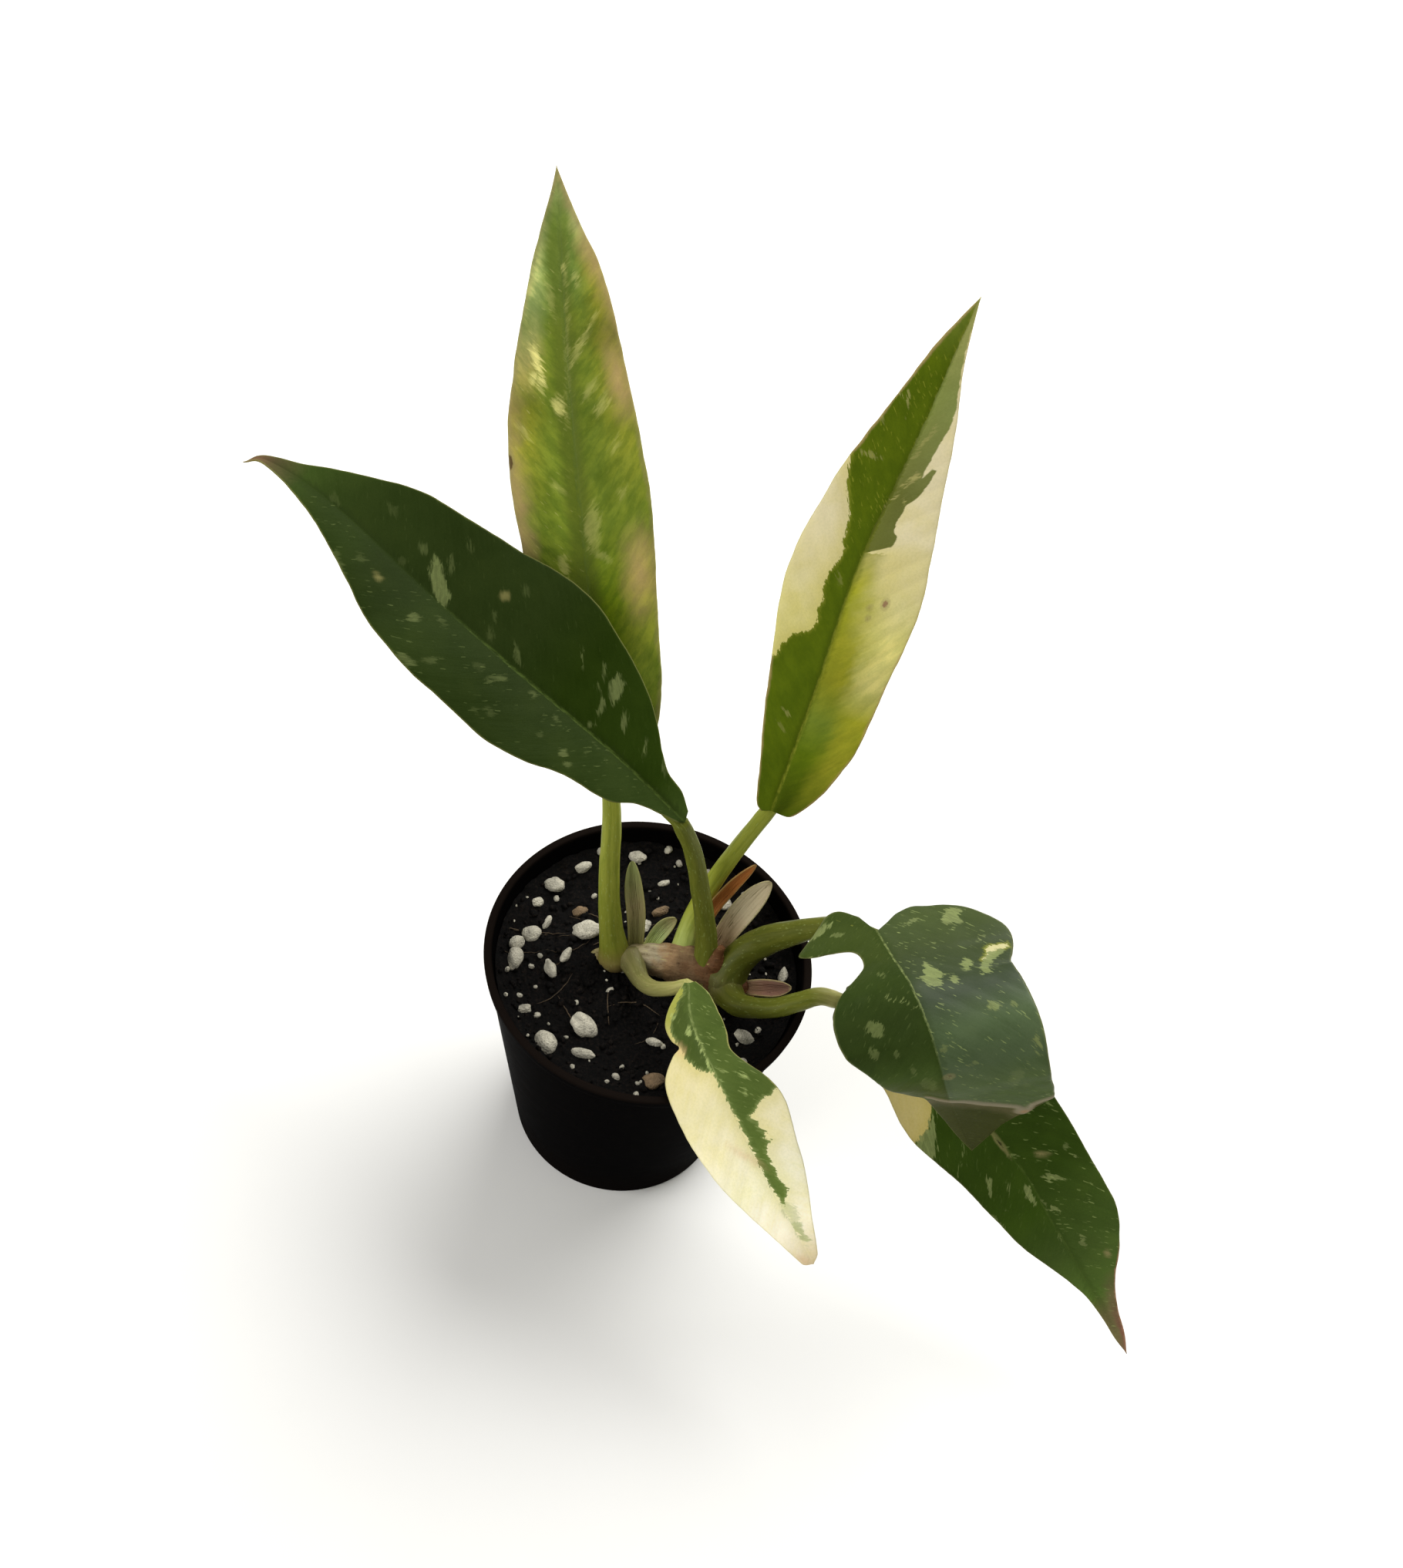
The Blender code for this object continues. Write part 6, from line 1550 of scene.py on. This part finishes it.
class PHILODENDRON_OT_soil(Operator):
    """Builds the soil bed and what lies in it: crumbs, mineral granules, bark and fibres"""

    bl_idname = "philodendron.soil"
    bl_label = "Soil"

    def execute(self, context):
        colours, sizes = context.scene.plant_colours, context.scene.plant_sizes
        self.bed(colours)
        self.granules(colours, sizes)
        self.crumbs(colours, sizes)
        self.fibres(colours, sizes)
        return {"FINISHED"}

    def bed(self, colours):
        """Rings of the level soil_level(x, y) out to the wall, then the wall down and the underside."""
        base = POT_FLOOR + SOIL_TO_FLOOR
        reach, foot = (wall_radius(height) - POT_WALL - SOIL_TO_WALL
                       for height in (POT_HEIGHT - SOIL_BELOW_RIM, base))
        radii = np.concatenate([np.linspace(0, reach, BED_RINGS), np.linspace(reach, foot, WALL_RINGS)[1:],
                                np.linspace(foot, 0, FLOOR_RINGS)[1:]])
        angle = np.arange(BED_SIDES) * TAU / BED_SIDES
        x, y = radii[:, None] * np.cos(angle), radii[:, None] * np.sin(angle)
        z = soil_level(x, y)
        edge, below = z[BED_RINGS - 1], BED_RINGS + WALL_RINGS - 1
        z[BED_RINGS:below] = edge + (base - edge) * np.linspace(0, 1, WALL_RINGS)[1:, None]
        z[below:] = base
        faces = grid_faces(len(radii), BED_SIDES)
        add_piece("soil_bed", stack(x, y, z), faces, soil_material(colours), "soil")

    def granules(self, colours, sizes):
        for label, kept, base, gain in (("granules_large", False, "mineral", 0.98),
                                        ("bark_bits", True, "bark", 1.0)):
            rows = [row for k, row in enumerate(GRANULES) if (k in TAN_GRANULES) == kept]
            *where, turn = np.array(rows).T
            wide = 0.62 + 0.18 * np.sin(np.arange(len(rows)) * 2.1)
            lay(label, granule_material(colours, label, base, gain), np.array(where) * MM,
                np.radians(turn), (wide, 0.55), lift=0.10, grid=(17, 24), rough=0.22, seed=51)
        draw, x, y = scatter(sizes.small_granules, seed=61)
        half = MM * (0.25 + 0.80 * draw.random(len(x)) ** 1.5)
        lay("granules_small", granule_material(colours, "granules_small", "mineral", 0.85), (x, y, half),
            TAU * draw.random(len(x)), (0.8, 0.65), lift=0.15, grid=(7, 9), rough=0.25, seed=52)

    def crumbs(self, colours, sizes):
        draw, x, y = scatter(sizes.crumb_count, seed=62)
        half = MM * (0.22 + 0.8 * draw.random(len(x)) ** 3)
        lay("soil_crumbs", soil_material(colours, "soil_crumbs", 1.5), (x, y, half),
            TAU * draw.random(len(x)), (0.8, 0.7), lift=0.1, grid=(6, 8), rough=0.35, seed=53)

    def fibres(self, colours, sizes):
        """Thin tubes that lie on the soil: x and y follow an arc, place + ahead * f + aside * bend f^2,
        kept inside the rim, and z is the soil's level there and a little more, in rings that taper to
        both ends."""
        draw, x, y = scatter(sizes.fibre_count, seed=63, reach=26.0 * MM)
        count = len(x)
        f = np.linspace(-0.5, 0.5, FIBRE_STEPS)
        turn, bend = TAU * draw.random(count), 0.8 * (draw.random(count) - 0.5)
        long = MM * (3 + 8 * draw.random(count))
        ahead = stack(np.cos(turn), np.sin(turn))[:, None]
        aside = stack(-np.sin(turn), np.cos(turn))[:, None]
        way = (stack(x, y)[:, None] + ahead * (f * long[:, None])[..., None]
               + aside * (f ** 2 * (bend * long * 2)[:, None])[..., None])
        way *= np.minimum(1.0, FIBRE_REACH / np.maximum(np.hypot(way[..., :1], way[..., 1:]), 1e-6))
        taper = np.sqrt(1 - (2 * f) ** 2 * 0.98)[None]
        radius = sizes.fibre_radius * taper * (0.6 + draw.random(count))[:, None]
        z = soil_level(way[..., 0], way[..., 1]) + 1.2 * sizes.fibre_radius
        angle = np.arange(FIBRE_SIDES) * TAU / FIBRE_SIDES
        flat = way[:, :, None] + aside[:, None] * (radius[..., None] * np.cos(angle))[..., None]
        up = z[:, :, None] + radius[..., None] * np.sin(angle)
        points = np.concatenate([flat, up[..., None]], -1)
        size = FIBRE_STEPS * FIBRE_SIDES
        one = grid_faces(FIBRE_STEPS, FIBRE_SIDES).tolist()
        one += [list(range(FIBRE_SIDES)), list(range(size - FIBRE_SIDES, size))]
        faces = [[k + size * n for k in face] for n in range(count) for face in one]
        material = granule_material(colours, "soil_fibres", "bark", 0.35)
        add_piece("soil_fibres", points, faces, material, "soil")


class PHILODENDRON_OT_pot(Operator):
    """Builds the thin tapered nursery pot with its rolled lip and drainage holes"""

    bl_idname = "philodendron.pot"
    bl_label = "Pot"

    def execute(self, context):
        lip_foot = POT_HEIGHT - LIP_HEIGHT
        foot = wall_radius(0) - FOOT_RING
        corners = [(0.0, POT_FLOOR), (wall_radius(POT_FLOOR) - POT_WALL, POT_FLOOR),
                   (wall_radius(POT_HEIGHT) - POT_WALL, POT_HEIGHT),
                   (wall_radius(POT_HEIGHT) + LIP_PROUD, POT_HEIGHT),
                   (wall_radius(lip_foot) + LIP_PROUD, lip_foot),
                   (wall_radius(lip_foot - LIP_PROUD), lip_foot - LIP_PROUD * 0.6), (wall_radius(0), 0.0),
                   (foot, 0.0), (foot - 0.8 * MM, FOOT_HOLLOW), (0.0, FOOT_HOLLOW)]
        profile = dense(rounded(corners, PROFILE_ROUND), PROFILE_STEP)
        points, faces = turned(profile, context.scene.plant_sizes.pot_sides)
        material = pot_material(context.scene.plant_colours)
        pot = add_piece("pot_shell", points, faces, material, "pot")
        turn = TAU * (np.arange(DRAIN_HOLES) + 0.5) / DRAIN_HOLES
        radius = DRAIN_DIAMETER / 2
        column = np.array([(0.0, -PLUG_REACH), (radius, -PLUG_REACH), (radius, PLUG_TOP), (0.0, PLUG_TOP)])
        for x, y in zip(DRAIN_RING * np.cos(turn), DRAIN_RING * np.sin(turn)):
            plug, quads = turned(column, HOLE_SIDES)
            cutter = add_piece("drain_cutter", plug + np.array((x, y, 0.0)), quads, material, "pot")
            cut = pot.modifiers.new("drain", "BOOLEAN")
            cut.operation = "DIFFERENCE"
            cut.solver = "EXACT"
            cut.object = cutter
            settled(pot)
            bpy.data.objects.remove(cutter)
        pot.data.set_sharp_from_angle(angle=math.radians(40))
        return {"FINISHED"}


class PHILODENDRON_OT_studio(Operator):
    """Sets up the pale floor, the soft lights and the camera"""

    bl_idname = "philodendron.studio"
    bl_label = "Studio"

    def execute(self, context):
        scene, studio = context.scene, context.scene.studio_settings
        x, y = np.meshgrid(np.linspace(-2.0, 2.0, 9), np.linspace(-2.0, 2.0, 9), indexing="ij")
        material = floor_material(scene.plant_colours)
        add_piece("floor", stack(x, y, 0 * x), grid_faces(9, 9, wrap=False), material)
        scene.view_settings.view_transform = "Standard"
        world = bpy.data.worlds.new("room")
        world.use_nodes = True
        back = world.node_tree.nodes["Background"]
        back.inputs["Color"].default_value = (1.0, 0.99, 0.97, 1.0)
        back.inputs["Strength"].default_value = studio.sky_light
        scene.world = world
        self.light("window", (0.30, 0.62, 0.78), (0.0, 0.02, 0.08), 1.00, studio.window_power)
        self.light("front", (-0.75, -0.43, 0.60), (0.0, 0.0, 0.08), 0.80, studio.fill_power)
        self.camera(scene, studio.lens)
        return {"FINISHED"}

    def light(self, name, place, target, size, power):
        lamp = bpy.data.lights.new(name, "AREA")
        lamp.shape = "DISK"
        lamp.size = size
        lamp.energy = power
        back = unit(np.array(place) - np.array(target))
        right = unit(np.cross((0.0, 0.0, 1.0), back))
        self.stand(name, lamp, right, np.cross(back, right), back, place)

    def camera(self, scene, lens):
        """Looks down from its distance to its aim and leans about its own axis."""
        down, lean = math.radians(CAMERA_DOWN), math.radians(CAMERA_LEAN)
        back = np.array((0.0, -math.cos(down), math.sin(down)))
        right = np.array((1.0, 0.0, 0.0))
        up = np.cross(back, right)
        c, s = math.cos(lean), math.sin(lean)
        right, up = right * c + up * s, up * c - right * s
        view = bpy.data.cameras.new("camera")
        view.lens = lens
        view.sensor_width = 36.0
        view.clip_start = 0.01
        view.clip_end = 20.0
        place = np.array(CAMERA_AIM) + back * CAMERA_DISTANCE
        scene.camera = self.stand("camera", view, right, up, back, place)

    def stand(self, name, data, right, up, back, place):
        """Turns and places a light or the camera: right, up and back are its own axes."""
        made = bpy.data.objects.new(name, data)
        columns = np.eye(4)
        columns[:3] = np.stack([right, up, back, place], axis=1)
        made.matrix_world = Matrix(columns.tolist())
        bpy.context.scene.collection.objects.link(made)
        return made


class PHILODENDRON_PT_panel(Panel):
    """Lists the pieces and the settings"""

    bl_label = "Potted Philodendron"
    bl_idname = "PHILODENDRON_PT_panel"
    bl_space_type = "VIEW_3D"
    bl_region_type = "UI"
    bl_category = "Philodendron"

    def draw(self, context):
        for operator in OPERATORS:
            self.layout.operator(operator.bl_idname)
        for group in (context.scene.plant_sizes, context.scene.studio_settings, context.scene.plant_colours):
            box = self.layout.box()
            for label in group.__annotations__:
                box.prop(group, label)


OPERATORS = (PHILODENDRON_OT_pot, PHILODENDRON_OT_soil, PHILODENDRON_OT_crown, PHILODENDRON_OT_sheaths,
             PHILODENDRON_OT_leaves, PHILODENDRON_OT_studio)
CLASSES = (PlantColours, PlantSizes, StudioSettings, *OPERATORS, PHILODENDRON_PT_panel)


def register():
    for item in CLASSES:
        bpy.utils.register_class(item)
    bpy.types.Scene.plant_colours = PointerProperty(type=PlantColours)
    bpy.types.Scene.plant_sizes = PointerProperty(type=PlantSizes)
    bpy.types.Scene.studio_settings = PointerProperty(type=StudioSettings)


def unregister():
    del bpy.types.Scene.studio_settings
    del bpy.types.Scene.plant_sizes
    del bpy.types.Scene.plant_colours
    for item in reversed(CLASSES):
        bpy.utils.unregister_class(item)


def main():
    register()
    bpy.ops.philodendron.pot()
    bpy.ops.philodendron.soil()
    bpy.ops.philodendron.crown()
    bpy.ops.philodendron.sheaths()
    bpy.ops.philodendron.leaves()
    bpy.ops.philodendron.studio()
    boxes = [[[float(number) for number in corner] for corner in box] for box in (CAD_BOX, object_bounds())]


if __name__ == "__main__":
    main()
